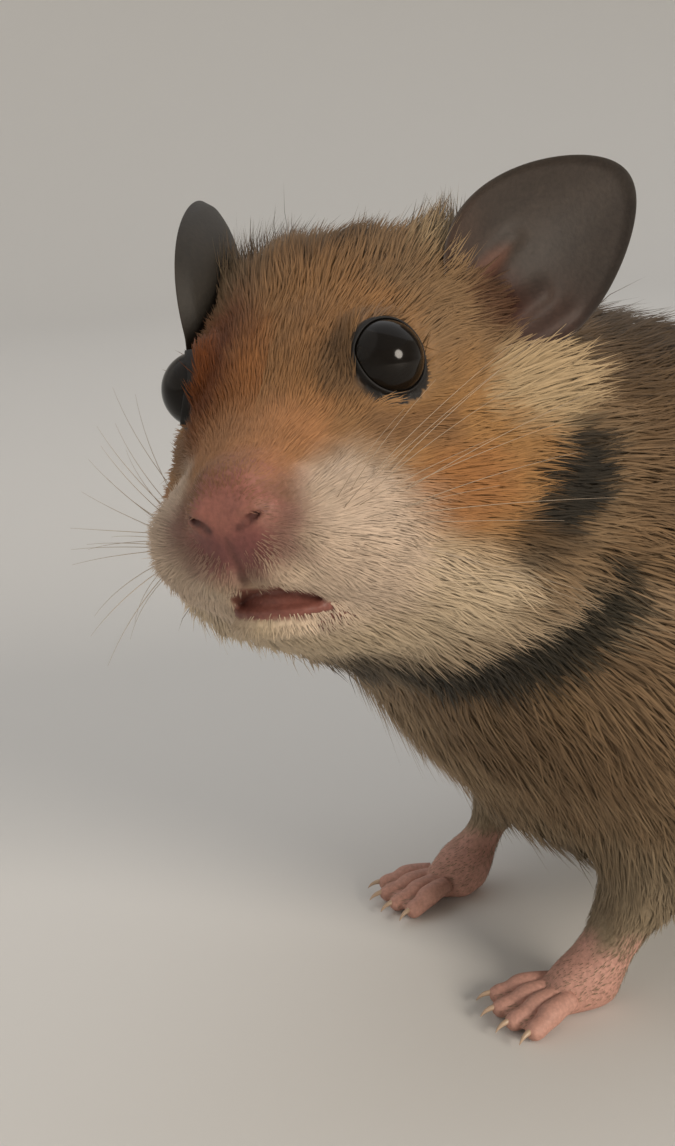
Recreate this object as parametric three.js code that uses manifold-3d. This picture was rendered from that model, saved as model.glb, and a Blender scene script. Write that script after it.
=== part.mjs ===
// A golden (Syrian) hamster at life size: it stands on its four feet with its forequarters
// raised, and turns its head to its left. The nose points to -Y, the animal's left is +X and
// up is +Z. All lengths are in millimetres and all angles in degrees.
//
// The whole body is one rounded field, blended from ellipsoids and tapered limbs, out to the
// tips of the coat. Each piece is that field, meshed by surface nets at a cell of its own and
// parted from its neighbours by thin cuts. Ears, eyes and claws are solids of their own.

import * as THREE from "three";
import { mergeVertices } from "three/addons/utils/BufferGeometryUtils.js";
import Module from "manifold-3d";

const wasm = await Module();
wasm.setup();

// Driving dimensions
const partGap = 0.3; // between pieces that meet
const eyeRadius = 3.2;
const earLength = 20.2;
const earWidth = 14.1;
const earThickness = 1.3;
const earCup = 2.8; // how far the rim curls forward of the middle
const mouthOpening = 2.2;
const clawLength = 2.4;
const clawRadius = 0.55;
const tailLength = 13;
const tailRadius = { root: 3.6, tip: 1.7 };

// The head's pose: its neck end, then turn to the left, nose up, and lean to the right
const neckEnd = [4, -40, 56];
const headTurn = 42;
const headLift = 4;
const headLean = 8;
const napeBehindNose = 36;

// Blend widths of the rounded field
const trunkBlend = 14;
const headBlend = 5;
const neckBlend = 12;
const limbBlend = 7;
const pawBlend = 3;
const tailBlend = 4;

// Cell sizes of the meshing
const faceCell = 3.5;
const noseCell = 1.5;
const neckCell = 6;
const trunkCell = 8;
const limbCell = 5.2;
const pawCell = 3.2;
const tailCell = 2;

const colours = {
  golden: [0xb07c48, 0.95],
  greyBrown: [0x8d7559, 0.95],
  cream: [0xd9c8ac, 0.95],
  earSkin: [0x4a3f3b, 0.7],
  nosePink: [0xb9777a, 0.55],
  pawPink: [0xc9978d, 0.75],
  eyeBlack: [0x0a0808, 0.08],
};

const rad = THREE.MathUtils.degToRad;

// The head's frame: its origin is the nose tip, +X is left, +Y is back and +Z is up.
const headTurned = new THREE.Matrix4()
  .makeRotationZ(rad(headTurn))
  .multiply(new THREE.Matrix4().makeRotationX(rad(-headLift)))
  .multiply(new THREE.Matrix4().makeRotationY(rad(-headLean)));
const headFrame = new THREE.Matrix4()
  .makeTranslation(...neckEnd)
  .multiply(headTurned)
  .multiply(new THREE.Matrix4().makeTranslation(0, -napeBehindNose, 0));
const bodyFrame = new THREE.Matrix4();

// ---- the rounded field -------------------------------------------------------------------

// An ellipsoid in a frame, with its centre, half-sizes and nose-up tilt.
function lump(frame, at, half, tilt = 0) {
  const place = frame
    .clone()
    .multiply(new THREE.Matrix4().makeTranslation(...at))
    .multiply(new THREE.Matrix4().makeRotationX(rad(-tilt)));
  const m = place.invert().elements;
  const [a, b, c] = half;
  return (x, y, z) => {
    const u = m[0] * x + m[4] * y + m[8] * z + m[12];
    const v = m[1] * x + m[5] * y + m[9] * z + m[13];
    const w = m[2] * x + m[6] * y + m[10] * z + m[14];
    const k0 = Math.hypot(u / a, v / b, w / c);
    const k1 = Math.hypot(u / (a * a), v / (b * b), w / (c * c));
    return k1 < 1e-9 ? -Math.min(a, b, c) : (k0 * (k0 - 1)) / k1;
  };
}

// A limb that tapers from one point to another.
function limb(from, to, fromRadius, toRadius) {
  const start = new THREE.Vector3(...from);
  const along = new THREE.Vector3(...to).sub(start);
  const length2 = along.lengthSq();
  return (x, y, z) => {
    const dx = x - start.x;
    const dy = y - start.y;
    const dz = z - start.z;
    const share = (dx * along.x + dy * along.y + dz * along.z) / length2;
    const t = Math.min(1, Math.max(0, share));
    const away = Math.hypot(dx - t * along.x, dy - t * along.y, dz - t * along.z);
    return away - (fromRadius + t * (toRadius - fromRadius));
  };
}

function blendTwo(a, b, width) {
  const h = Math.max(width - Math.abs(a - b), 0) / width;
  return Math.min(a, b) - (h * h * width) / 4;
}

// Several fields as one, with their meeting lines rounded.
function blend(fields, width) {
  return (x, y, z) => fields.reduce((d, field) => blendTwo(d, field(x, y, z), width), 1e3);
}

// The same shape on both sides of the middle: make(side) with side 1 on the left, -1 on the right.
const bothSides = (make) => [1, -1].flatMap((side) => make(side));

const trunk = blend(
  [
    lump(bodyFrame, [0, 42, 30], [31, 31, 29]), // rump
    lump(bodyFrame, [0, 12, 35], [30, 34, 28.5], 6), // belly and loin
    lump(bodyFrame, [0, -15, 36], [27, 27, 27], 20), // chest
    lump(bodyFrame, [2, -31, 49], [21, 20, 21], 25), // shoulders and nape
  ],
  trunkBlend,
);

const head = blend(
  [
    lump(headFrame, [0, 25.5, 6.5], [15.5, 14, 14.5]), // cranium
    lump(headFrame, [0, 16, 5.1], [9, 9.5, 8.8], -20), // brow
    lump(headFrame, [0, 7.8, 0.8], [5.4, 8.2, 5.6], -25), // bridge of the snout
    lump(headFrame, [0, 1.9, 0.1], [2.8, 2.3, 2.4]), // nose pad
    lump(headFrame, [0, 9.5, -8.9], [4.6, 7, 4]), // chin and lower jaw
    lump(headFrame, [0, 22, -7], [13, 13.5, 9]), // throat
    ...bothSides((s) => [
      lump(headFrame, [4.9 * s, 6.9, -3], [5.2, 6, 4.7]), // whisker pad
      lump(headFrame, [7 * s, 14, 8], [3.8, 4.2, 3.8]), // eye rim
      lump(headFrame, [9.5 * s, 20.5, -4], [9, 12, 9.5]), // cheek
      lump(headFrame, [9 * s, 24, 14.5], [6.5, 5, 5.8]), // root of the ear
    ]),
  ],
  headBlend,
);

// Joints of the legs on the animal's left side; the right side mirrors them.
const fore = { shoulder: [15, -24, 36], elbow: [17, -17, 22], wrist: [14, -27, 6] };
const hind = { hip: [19, 36, 26], knee: [24, 24, 17], heel: [23, 46, 5] };
const legRadius = { shoulder: 11.5, elbow: 8, forearm: 7, wrist: 3.6, knee: 9.5, heel: 4.2 };
const haunchHalf = [12, 20, 19];
const forePaw = { palm: [14, -30, 1.6], half: [4, 5, 3.2], toes: 4, toeLength: 5.2 };
const hindPaw = { palm: [22.5, 35, 2.4], half: [4.4, 12, 3.2], toes: 5, toeLength: 6.4 };
const toeRadius = 1.2;
const toeHeight = 1.0;
const toeRise = 0.5; // of a toe's root above its tip
const toeSpread = 13; // degrees between neighbouring toes
const outerToeLoss = 0.07; // share of its length that a toe loses away from the middle one
const clawDroop = 6; // degrees

const mirrored = (point, side) => [point[0] * side, point[1], point[2]];

// Root and tip of each toe of a paw, fanned out forward.
function toesOf(paw, side) {
  const [px, py] = mirrored(paw.palm, side);
  const [hx, hy] = paw.half;
  return Array.from({ length: paw.toes }, (_, i) => {
    const across = i - (paw.toes - 1) / 2;
    const angle = rad(across * toeSpread);
    const reach = paw.toeLength * (1 - outerToeLoss * across * across);
    const root = [px + across * hx * 0.42, py - hy * 0.7, toeHeight + toeRise];
    const tip = [root[0] + reach * Math.sin(angle), root[1] - reach * Math.cos(angle), toeHeight];
    return { root, tip, angle };
  });
}

const legs = bothSides((s) => [
  limb(mirrored(fore.shoulder, s), mirrored(fore.elbow, s), legRadius.shoulder, legRadius.elbow),
  limb(mirrored(fore.elbow, s), mirrored(fore.wrist, s), legRadius.forearm, legRadius.wrist),
  lump(bodyFrame, mirrored(hind.hip, s), haunchHalf),
  limb(mirrored(hind.knee, s), mirrored(hind.heel, s), legRadius.knee, legRadius.heel),
]);
const paws = bothSides((s) =>
  [forePaw, hindPaw].map((paw) => lump(bodyFrame, mirrored(paw.palm, s), paw.half)),
);

const tailRoot = [0, 70, 20];
const tailTip = [0, tailRoot[1] + tailLength * 0.9, tailRoot[2] - tailLength * 0.4];
const tailField = limb(tailRoot, tailTip, tailRadius.root, tailRadius.tip);

const trunkAndHead = (x, y, z) => blendTwo(trunk(x, y, z), head(x, y, z), neckBlend);
const withLegs = blend([trunkAndHead, ...legs], limbBlend);
const withPaws = blend([withLegs, ...paws], pawBlend);
const wholeBody = blend([withPaws, tailField], tailBlend);

// ---- meshing and cutting -----------------------------------------------------------------

// Surface nets: one vertex in each cell that the surface crosses, one quad on each grid edge
// that it crosses. The grid's outermost samples count as outside, so the mesh always closes.
function meshField(field, low, high, cell, grow = 0) {
  const n = low.map((v, i) => Math.ceil((high[i] - v) / cell) + 1);
  const at = (i, j, k) => (k * n[1] + j) * n[0] + i;
  const value = new Float64Array(n[0] * n[1] * n[2]);
  for (let k = 0; k < n[2]; k++)
    for (let j = 0; j < n[1]; j++)
      for (let i = 0; i < n[0]; i++) {
        const inside = i && j && k && i < n[0] - 1 && j < n[1] - 1 && k < n[2] - 1;
        const d = field(low[0] + i * cell, low[1] + j * cell, low[2] + k * cell) - grow;
        value[at(i, j, k)] = inside ? d : Math.max(d, cell / 2);
      }
  const vertexOf = new Map();
  const positions = [];
  for (let k = 0; k < n[2] - 1; k++)
    for (let j = 0; j < n[1] - 1; j++)
      for (let i = 0; i < n[0] - 1; i++) {
        const sum = [0, 0, 0];
        let crossings = 0;
        for (let axis = 0; axis < 3; axis++)
          for (const [p, q] of [[0, 0], [1, 0], [0, 1], [1, 1]]) {
            const from = [i, j, k];
            from[(axis + 1) % 3] += p;
            from[(axis + 2) % 3] += q;
            const to = [...from];
            to[axis] += 1;
            const a = value[at(...from)];
            const b = value[at(...to)];
            if (a < 0 === b < 0) continue;
            from[axis] += a / (a - b);
            from.forEach((v, m) => (sum[m] += v));
            crossings++;
          }
        if (!crossings) continue;
        vertexOf.set(at(i, j, k), positions.length / 3);
        positions.push(...sum.map((v, m) => low[m] + (v / crossings) * cell));
      }
  const faces = [];
  for (let k = 0; k < n[2] - 1; k++)
    for (let j = 0; j < n[1] - 1; j++)
      for (let i = 0; i < n[0] - 1; i++)
        for (let axis = 0; axis < 3; axis++) {
          const to = [i, j, k];
          to[axis] += 1;
          const a = value[at(i, j, k)];
          const b = value[at(...to)];
          if (a < 0 === b < 0) continue;
          const corner = (p, q) => {
            const c = [i, j, k];
            c[(axis + 1) % 3] -= p;
            c[(axis + 2) % 3] -= q;
            return vertexOf.get(at(...c));
          };
          const quad = [corner(1, 1), corner(0, 1), corner(0, 0), corner(1, 0)];
          if (b < 0) quad.reverse();
          faces.push(quad[0], quad[1], quad[2], quad[0], quad[2], quad[3]);
        }
  return new wasm.Manifold(
    new wasm.Mesh({
      numProp: 3,
      vertProperties: new Float32Array(positions),
      triVerts: new Uint32Array(faces),
    }),
  );
}

// A three.js geometry, placed by a matrix, as a solid.
function solidOf(geometry, place = bodyFrame) {
  const bare = geometry.clone().applyMatrix4(place);
  bare.deleteAttribute("normal");
  bare.deleteAttribute("uv");
  const merged = mergeVertices(bare, 1e-4);
  return new wasm.Manifold(
    new wasm.Mesh({
      numProp: 3,
      vertProperties: merged.attributes.position.array,
      triVerts: new Uint32Array(merged.index.array),
    }),
  );
}

function geometryOf(solid) {
  const { vertProperties, triVerts } = solid.getMesh();
  const geometry = new THREE.BufferGeometry();
  geometry.setAttribute("position", new THREE.Float32BufferAttribute(vertProperties, 3));
  geometry.setIndex(new THREE.BufferAttribute(triVerts, 1));
  geometry.computeVertexNormals();
  return geometry;
}

const far = 400;
const underFloor = 9;

// Everything on the far side of a plane, which starts a little way along its normal.
function beyond(frame, point, normal, start = 0) {
  const turn = new THREE.Quaternion().setFromUnitVectors(
    new THREE.Vector3(0, 0, 1),
    new THREE.Vector3(...normal).normalize(),
  );
  const box = new THREE.BoxGeometry(far, far, far).translate(0, 0, far / 2 + start);
  const place = frame
    .clone()
    .multiply(new THREE.Matrix4().makeTranslation(...point))
    .multiply(new THREE.Matrix4().makeRotationFromQuaternion(turn));
  return solidOf(box, place);
}

const reversed = (v) => v.map((c) => -c);

// The two sides of a cut, each half of the gap away from it.
const behindCut = ({ frame, point, normal }) => beyond(frame, point, normal, partGap / 2);
const beforeCut = ({ frame, point, normal }) => beyond(frame, point, reversed(normal), partGap / 2);

// A drum across the body, on one side, that marks out a leg. It grows by the gap for its neighbour.
function drum(side, [, y, z], radius, inner, grow) {
  const across = 60;
  const shape = new THREE.CylinderGeometry(radius + grow, radius + grow, across, 20);
  shape.rotateZ(Math.PI / 2).translate(side * (inner - grow + across / 2), y, z);
  return solidOf(shape);
}

function block(frame, low, high, grow = 0) {
  const size = low.map((v, i) => high[i] - v + 2 * grow);
  const centre = low.map((v, i) => (v + high[i]) / 2);
  const place = frame.clone().multiply(new THREE.Matrix4().makeTranslation(...centre));
  return solidOf(new THREE.BoxGeometry(...size), place);
}

const biggest = (solid) => solid.decompose().sort((a, b) => b.volume() - a.volume())[0];

// The field's mesh in a box, cut to the shapes in keep and clear of those in drop.
function pieceOf(low, high, cell, keep, drop = []) {
  let solid = meshField(wholeBody, low, high, cell);
  for (const region of keep) solid = solid.intersect(region);
  for (const region of drop) solid = solid.subtract(region);
  return biggest(solid);
}

// ---- the cuts ----------------------------------------------------------------------------

const cuts = {
  head: { frame: headFrame, point: [0, 33, 0], normal: [0, 1, -0.12] },
  neck: { frame: bodyFrame, point: [2, -33, 50], normal: [0, 1, -0.35] },
  waist: { frame: bodyFrame, point: [0, 0, 40], normal: [0, 1, -0.1] },
  rump: { frame: bodyFrame, point: [0, 28, 40], normal: [0, 1, 0.05] },
  tail: { frame: bodyFrame, point: [0, 73, 20], normal: [0, 1, -0.4] },
};
const shoulderDrum = { centre: [0, -20, 32], radius: 15.5, inner: 11 };
const hipDrum = { centre: [0, 36, 20], radius: 22, inner: 16 };
const forearmColumn = { centre: [16, -24.5], radius: 10 };
const footBlock = { across: [16.5, 30.5], along: [15, 53] };
const elbowHeight = 15;
const wristHeight = 5.6;
const ankleHeight = 5.8;

const shoulderOf = (side, grow = 0) =>
  drum(side, shoulderDrum.centre, shoulderDrum.radius, shoulderDrum.inner, grow);
const hipOf = (side, grow = 0) =>
  drum(side, hipDrum.centre, hipDrum.radius, hipDrum.inner, grow);
// The column that holds a forearm, and the block that holds a hind foot, from the floor up.
function forearmOf(side, grow = 0) {
  const [x, y] = forearmColumn.centre;
  const radius = forearmColumn.radius + grow;
  const height = elbowHeight + grow + underFloor;
  const column = new THREE.CylinderGeometry(radius, radius, height, 14).rotateX(Math.PI / 2);
  return solidOf(column.translate(side * x, y, height / 2 - underFloor));
}
function footOf(side, grow = 0) {
  const [x0, x1] = footBlock.across.map((x) => side * x).sort((a, b) => a - b);
  const [y0, y1] = footBlock.along;
  return block(bodyFrame, [x0, y0, -underFloor], [x1, y1, ankleHeight], grow);
}
const aboveHeight = (z) => beyond(bodyFrame, [0, 0, z], [0, 0, 1], partGap / 2);
const belowHeight = (z) => beyond(bodyFrame, [0, 0, z], [0, 0, -1], partGap / 2);
const floorUp = beyond(bodyFrame, [0, 0, 0], [0, 0, 1]);

// ---- the head's own pieces ---------------------------------------------------------------

const eyeCentre = [8.8, 12.9, 9.1];
const eyePlace = (side) =>
  headFrame.clone().multiply(new THREE.Matrix4().makeTranslation(...mirrored(eyeCentre, side)));
const eyeball = (side, grow = 0) =>
  solidOf(new THREE.SphereGeometry(eyeRadius + grow, 12, 8), eyePlace(side));

// The mouth stands a little open: a lens between the upper lip and the jaw.
const mouthCentre = [0, 4.9, -7.2];
const mouthHalf = [4, 4.8, mouthOpening / 2];
const mouthTilt = 6; // degrees that its corners drop
const mouth = solidOf(
  new THREE.SphereGeometry(1, 12, 6).scale(...mouthHalf),
  headFrame
    .clone()
    .multiply(new THREE.Matrix4().makeTranslation(...mouthCentre))
    .multiply(new THREE.Matrix4().makeRotationX(rad(-mouthTilt))),
);
const jawMiddle = [0, 8.5, -12];
const jawHalf = [5, 9, 9];
const noseMiddle = [0, -0.2, 0.1];
const noseHalf = [3.2, 2.4, 2.9];

function ball(frame, at, half, grow = 0) {
  const place = frame.clone().multiply(new THREE.Matrix4().makeTranslation(...at));
  const round = new THREE.SphereGeometry(1, 14, 8);
  return solidOf(round.scale(...half.map((r) => r + grow)), place);
}

const belowMouth = (start) => beyond(headFrame, mouthCentre, [0, 0, -1], start);
const jawRegion = (grow) => ball(headFrame, jawMiddle, jawHalf, grow).intersect(belowMouth(-grow));
const noseRegion = (grow) => ball(headFrame, noseMiddle, noseHalf, grow);

// An ear: a flattened ball, bent into a cup and a little narrower towards its tip.
const earRoot = [10.4, 24.5, 13.5];
const earTaper = 0.26;
// The animal turns one ear further back than the other. Facing is from straight ahead to where
// the cup opens, and lean is the long axis above the level, both in degrees. Middle is from the
// root to the cup's middle, down across the long axis and out along it.
const earCarriage = {
  left: { facing: 48, lean: 29.2, middle: [1.1, 7.9] },
  right: { facing: 74, lean: 43, middle: [-2.8, 4] },
};

function earSolid(side, { facing, lean, middle: [down, out] }) {
  const cup = new THREE.SphereGeometry(1, 18, 8).rotateX(Math.PI / 2);
  const p = cup.attributes.position;
  for (let i = 0; i < p.count; i++) {
    const [x, y, z] = [p.getX(i), p.getY(i), p.getZ(i)];
    const rim = x * x + y * y;
    const across = ((x * earWidth) / 2) * (1 - earTaper * y);
    p.setXYZ(i, across, (y * earLength) / 2, (z * earThickness) / 2 + earCup * rim);
  }
  const place = new THREE.Matrix4()
    .makeTranslation(...earRoot)
    .multiply(new THREE.Matrix4().makeRotationZ(rad(facing)))
    .multiply(new THREE.Matrix4().makeRotationX(Math.PI / 2))
    .multiply(new THREE.Matrix4().makeRotationZ(rad(lean - 90)))
    .multiply(new THREE.Matrix4().makeTranslation(down, out, 0));
  cup.applyMatrix4(place);
  if (side < 0) {
    cup.scale(-1, 1, 1);
    cup.index.array.reverse();
  }
  return solidOf(cup, headFrame);
}

const headLow = [-22, -92, 20];
const headHigh = [52, -16, 100];
const headWithGap = meshField(wholeBody, headLow, headHigh, faceCell, partGap);

// A toe with its claw: a capsule along the toe, and a cone out of its tip that points a little down.
function toeWithClaw({ root, tip, angle }) {
  const from = new THREE.Vector3(...root);
  const along = new THREE.Vector3(...tip).sub(from);
  const toe = new THREE.CapsuleGeometry(toeRadius, along.length(), 1, 6);
  toe.translate(0, along.length() / 2, 0).applyQuaternion(
    new THREE.Quaternion().setFromUnitVectors(new THREE.Vector3(0, 1, 0), along.clone().normalize()),
  );
  const claw = new THREE.ConeGeometry(clawRadius, clawLength, 5);
  claw.rotateX(rad(180 + clawDroop)).translate(0, -toeRadius * 0.7 - clawLength / 2, 0.1).rotateZ(angle);
  return solidOf(toe.translate(...root)).add(solidOf(claw.translate(...tip)));
}

const pawPiece = (paw, region, height, low, high, side) => {
  const palm = pieceOf(low, high, pawCell, [region, belowHeight(height), floorUp]);
  const toes = toesOf(paw, side).map((toe) => toeWithClaw(toe).intersect(floorUp));
  return toes.reduce((all, toe) => all.add(toe), palm);
};

// ---- the pieces --------------------------------------------------------------------------

const hamster = new THREE.Group();

function add(name, solid, [colour, roughness]) {
  const material = new THREE.MeshStandardMaterial({ color: colour, roughness, metalness: 0 });
  const mesh = new THREE.Mesh(geometryOf(solid), material);
  mesh.name = name;
  hamster.add(mesh);
}

const sides = { left: 1, right: -1 };
const eyeSockets = Object.values(sides).map((s) => eyeball(s, partGap));
const legRegions = Object.values(sides).flatMap((s) => [
  shoulderOf(s, partGap),
  hipOf(s, partGap),
  forearmOf(s, partGap),
  footOf(s, partGap),
]);

const beforeHeadCut = beforeCut(cuts.head);
add(
  "head",
  pieceOf(headLow, headHigh, faceCell, [beforeHeadCut], [
    jawRegion(partGap),
    noseRegion(partGap),
    mouth,
    ...eyeSockets,
  ]),
  colours.golden,
);
add(
  "jaw",
  pieceOf(headLow, headHigh, faceCell, [beforeHeadCut, jawRegion(0)], [mouth]),
  colours.cream,
);
add("nose", pieceOf(headLow, headHigh, noseCell, [noseRegion(0)]), colours.nosePink);

for (const [name, side] of Object.entries(sides)) {
  add("eye_" + name, eyeball(side), colours.eyeBlack);
  const ear = earSolid(side, earCarriage[name]).subtract(headWithGap);
  add("ear_" + name, biggest(ear), colours.earSkin);
}

const bodyLow = [-44, -66, -6];
const bodyHigh = [44, 92, 84];
const behindHead = behindCut(cuts.head);
const inTrunk = (cell, keep) =>
  pieceOf(bodyLow, bodyHigh, cell, [behindHead, ...keep], legRegions);
add("neck", inTrunk(neckCell, [beforeCut(cuts.neck)]), colours.greyBrown);
add("chest", inTrunk(trunkCell, [behindCut(cuts.neck), beforeCut(cuts.waist)]), colours.greyBrown);
add("belly", inTrunk(trunkCell, [behindCut(cuts.waist), beforeCut(cuts.rump)]), colours.greyBrown);
add(
  "rump",
  inTrunk(trunkCell, [behindCut(cuts.rump), beforeCut(cuts.tail), floorUp]),
  colours.greyBrown,
);
add("tail", inTrunk(tailCell, [behindCut(cuts.tail)]), colours.pawPink);

// The boxes that the legs are meshed in, for one side of the body.
const foreBox = { across: [6, 36], low: [-46, -6], high: [-2, 52] };
const hindBox = { across: [10, 44], low: [8, -6], high: [62, 46] };
function boxOn(side, { across, low, high }) {
  const [x0, x1] = across.map((x) => x * side).sort((a, b) => a - b);
  return [[x0, ...low], [x1, ...high]];
}

for (const [name, side] of Object.entries(sides)) {
  const forearm = forearmOf(side);
  const foot = footOf(side);
  const [foreLow, foreHigh] = boxOn(side, foreBox);
  const [hindLow, hindHigh] = boxOn(side, hindBox);
  add(
    "upper_arm_" + name,
    pieceOf(foreLow, foreHigh, limbCell, [shoulderOf(side), behindHead], [forearmOf(side, partGap)]),
    colours.greyBrown,
  );
  add(
    "forearm_" + name,
    pieceOf(foreLow, foreHigh, limbCell, [forearm, aboveHeight(wristHeight)]),
    colours.greyBrown,
  );
  add(
    "forepaw_" + name,
    pawPiece(forePaw, forearm, wristHeight, foreLow, foreHigh, side),
    colours.pawPink,
  );
  add(
    "thigh_" + name,
    pieceOf(hindLow, hindHigh, limbCell, [hipOf(side)], [footOf(side, partGap)]),
    colours.greyBrown,
  );
  add(
    "hind_foot_" + name,
    pawPiece(hindPaw, foot, ankleHeight, hindLow, hindHigh, side),
    colours.pawPink,
  );
}

// The origin is the middle of the floor area that the animal's bounding box covers.
const bounds = new THREE.Box3().setFromObject(hamster);
const middle = bounds.getCenter(new THREE.Vector3());
hamster.position.set(-middle.x, -middle.y, -bounds.min.z);

export default hamster;
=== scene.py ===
import math

import bmesh
import bpy
import numpy as np
import openvdb as vdb
from mathutils import Matrix, Vector


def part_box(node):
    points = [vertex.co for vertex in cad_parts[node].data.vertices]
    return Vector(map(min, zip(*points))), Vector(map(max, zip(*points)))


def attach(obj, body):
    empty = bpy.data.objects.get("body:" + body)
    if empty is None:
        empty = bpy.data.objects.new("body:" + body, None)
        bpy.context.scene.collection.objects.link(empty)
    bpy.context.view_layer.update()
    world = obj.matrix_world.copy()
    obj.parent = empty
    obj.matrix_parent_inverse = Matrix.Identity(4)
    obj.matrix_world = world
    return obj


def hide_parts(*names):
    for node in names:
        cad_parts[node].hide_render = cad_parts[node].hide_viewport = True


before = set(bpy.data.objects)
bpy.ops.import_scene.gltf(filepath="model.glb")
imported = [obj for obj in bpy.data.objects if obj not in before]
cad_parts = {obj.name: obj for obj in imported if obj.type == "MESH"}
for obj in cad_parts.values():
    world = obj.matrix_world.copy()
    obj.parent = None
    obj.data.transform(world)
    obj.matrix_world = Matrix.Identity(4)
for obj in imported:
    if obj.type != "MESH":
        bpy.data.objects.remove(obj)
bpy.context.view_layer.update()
mm = 0.001
sides = (("left", 1), ("right", -1))


def unit(vectors):
    return vectors / np.maximum(np.linalg.norm(vectors, axis=-1, keepdims=True), 1e-9)


def ramp(values, start, end):
    # a smooth step, from 0 at start to 1 at end
    part = np.clip((values - start) / (end - start), 0, 1)
    return part * part * (3 - 2 * part)


def linked(name, data):
    thing = bpy.data.objects.new(name, data)
    bpy.context.scene.collection.objects.link(thing)
    return thing


def newMesh(name, points, faces):
    # points in mm, and faces that all have the same number of corners
    size = faces.shape[1]
    mesh = bpy.data.meshes.new(name)
    mesh.vertices.add(len(points))
    mesh.vertices.foreach_set("co", (points * mm).astype(np.float32).ravel())
    mesh.loops.add(faces.size)
    mesh.loops.foreach_set("vertex_index", faces.astype(np.int32).ravel())
    mesh.polygons.add(len(faces))
    mesh.polygons.foreach_set("loop_start", np.arange(0, faces.size, size, dtype=np.int32))
    mesh.update(calc_edges=True)
    mesh.shade_smooth()
    return linked(name, mesh)


def settle(thing):
    # what the modifiers make becomes the thing's own mesh
    made = bpy.data.meshes.new_from_object(thing.evaluated_get(bpy.context.evaluated_depsgraph_get()))
    made.shade_smooth()
    thing.modifiers.clear()
    thing.data = made


def cornersOf(mesh):
    places = np.zeros(len(mesh.vertices) * 3)
    mesh.vertices.foreach_get("co", places)
    return places.reshape(-1, 3) / mm


def outward(points, faces):
    # turns a closed mesh the right way out, by the sign of its volume
    a, b, c = (points[faces[:, k]] for k in (0, 1, 2))
    volume = (a * np.cross(b, c)).sum()
    if faces.shape[1] == 4:
        volume += (a * np.cross(c, points[faces[:, 3]])).sum()
    return faces if volume > 0 else faces[:, ::-1]


def ringQuads(index):
    # faces between the rows of a table of corners, each row a closed ring
    ahead = np.roll(index, -1, 1)
    return np.stack([index[:-1], index[1:], ahead[1:], ahead[:-1]], -1).reshape(-1, 4)


def halves(quads):
    return [quads[:, (0, 1, 2)], quads[:, (0, 2, 3)]]


def srgb(code):
    parts = [int(code[i:i + 2], 16) / 255 for i in (1, 3, 5)]
    return tuple(p / 12.92 if p <= 0.04045 else ((p + 0.055) / 1.055) ** 2.4 for p in parts)


def newMaterial(name, values):
    material = bpy.data.materials.new(name)
    material.use_nodes = True
    shader = material.node_tree.nodes["Principled BSDF"]
    for key, value in values.items():
        shader.inputs[key].default_value = value
    return material, shader


def addNode(tree, kind, settings=None, inputs=None, links=None):
    node = tree.nodes.new(kind)
    for key, value in (settings or {}).items():
        setattr(node, key, value)
    for key, value in (inputs or {}).items():
        node.inputs[key].default_value = value
    for key, socket in (links or {}).items():
        tree.links.new(socket, node.inputs[key])
    return node


# The head's own frame in mm: the nose tip is its origin, x to the animal's left, y back, z up.
headPose = {
    "turn": 42, "lift": 4, "lean": 8,
    "eyeSolid": (8.8, 12.9, 9.1),  # where an eye's centre lies in that frame
    "eye": (8.45, 12.5, 9.1),  # and where the eyeball sits between its lids
}


def turned(axis, degrees):
    return np.array(Matrix.Rotation(math.radians(degrees), 3, axis))


def middleOf(node):
    low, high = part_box(node)
    return np.array(low + high) / 2 / mm


headTurning = turned("Z", headPose["turn"]) @ turned("X", -headPose["lift"]) @ turned("Y", -headPose["lean"])
betweenEyes = np.array([0, *headPose["eyeSolid"][1:]])
eyesMiddle = (middleOf("eye_left") + middleOf("eye_right")) / 2


def fromHead(places):
    return (np.asarray(places, float) - betweenEyes) @ headTurning.T + eyesMiddle


def toHead(places):
    return (places - eyesMiddle) @ headTurning + betweenEyes


def mirrored(head):
    # places on the right half of the head as the same places on its left half
    return head * np.where(head[..., :1] < 0, (-1, 1, 1), (1, 1, 1))


def eyeDistance(head):
    return np.linalg.norm(mirrored(head) - headPose["eye"], axis=-1)


# Camera, at the left front of the head and a little above it.
cameraView = {
    "azimuth": 69.03, "elevation": 14.74, "roll": -3.57,
    "place": (0.13163, -0.10442, 0.0816),
    "sensor": 36, "lens": 46.96, "clip": (0.005, 20),
}


def towards(azimuth, elevation):
    # azimuth is in degrees from the model's front towards its left
    azimuth, elevation = math.radians(azimuth), math.radians(elevation)
    level = math.cos(elevation)
    return Vector((math.sin(azimuth) * level, -math.cos(azimuth) * level, math.sin(elevation)))


def makeCamera(values):
    data = bpy.data.cameras.new("camera")
    camera = linked("camera", data)
    azimuth, roll = math.radians(values["azimuth"]), math.radians(values["roll"])
    back = towards(values["azimuth"], values["elevation"])
    right = Vector((math.cos(azimuth), math.sin(azimuth), 0))
    up = back.cross(right)
    rolledRight = right * math.cos(roll) + up * math.sin(roll)
    rolledUp = up * math.cos(roll) - right * math.sin(roll)
    pose = Matrix((rolledRight, rolledUp, back)).transposed().to_4x4()
    pose.translation = Vector(values["place"])
    camera.matrix_world = pose
    data.sensor_width, data.lens = values["sensor"], values["lens"]
    data.clip_start, data.clip_end = values["clip"]
    bpy.context.scene.camera = camera


makeCamera(cameraView)
print("camera made")


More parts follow.
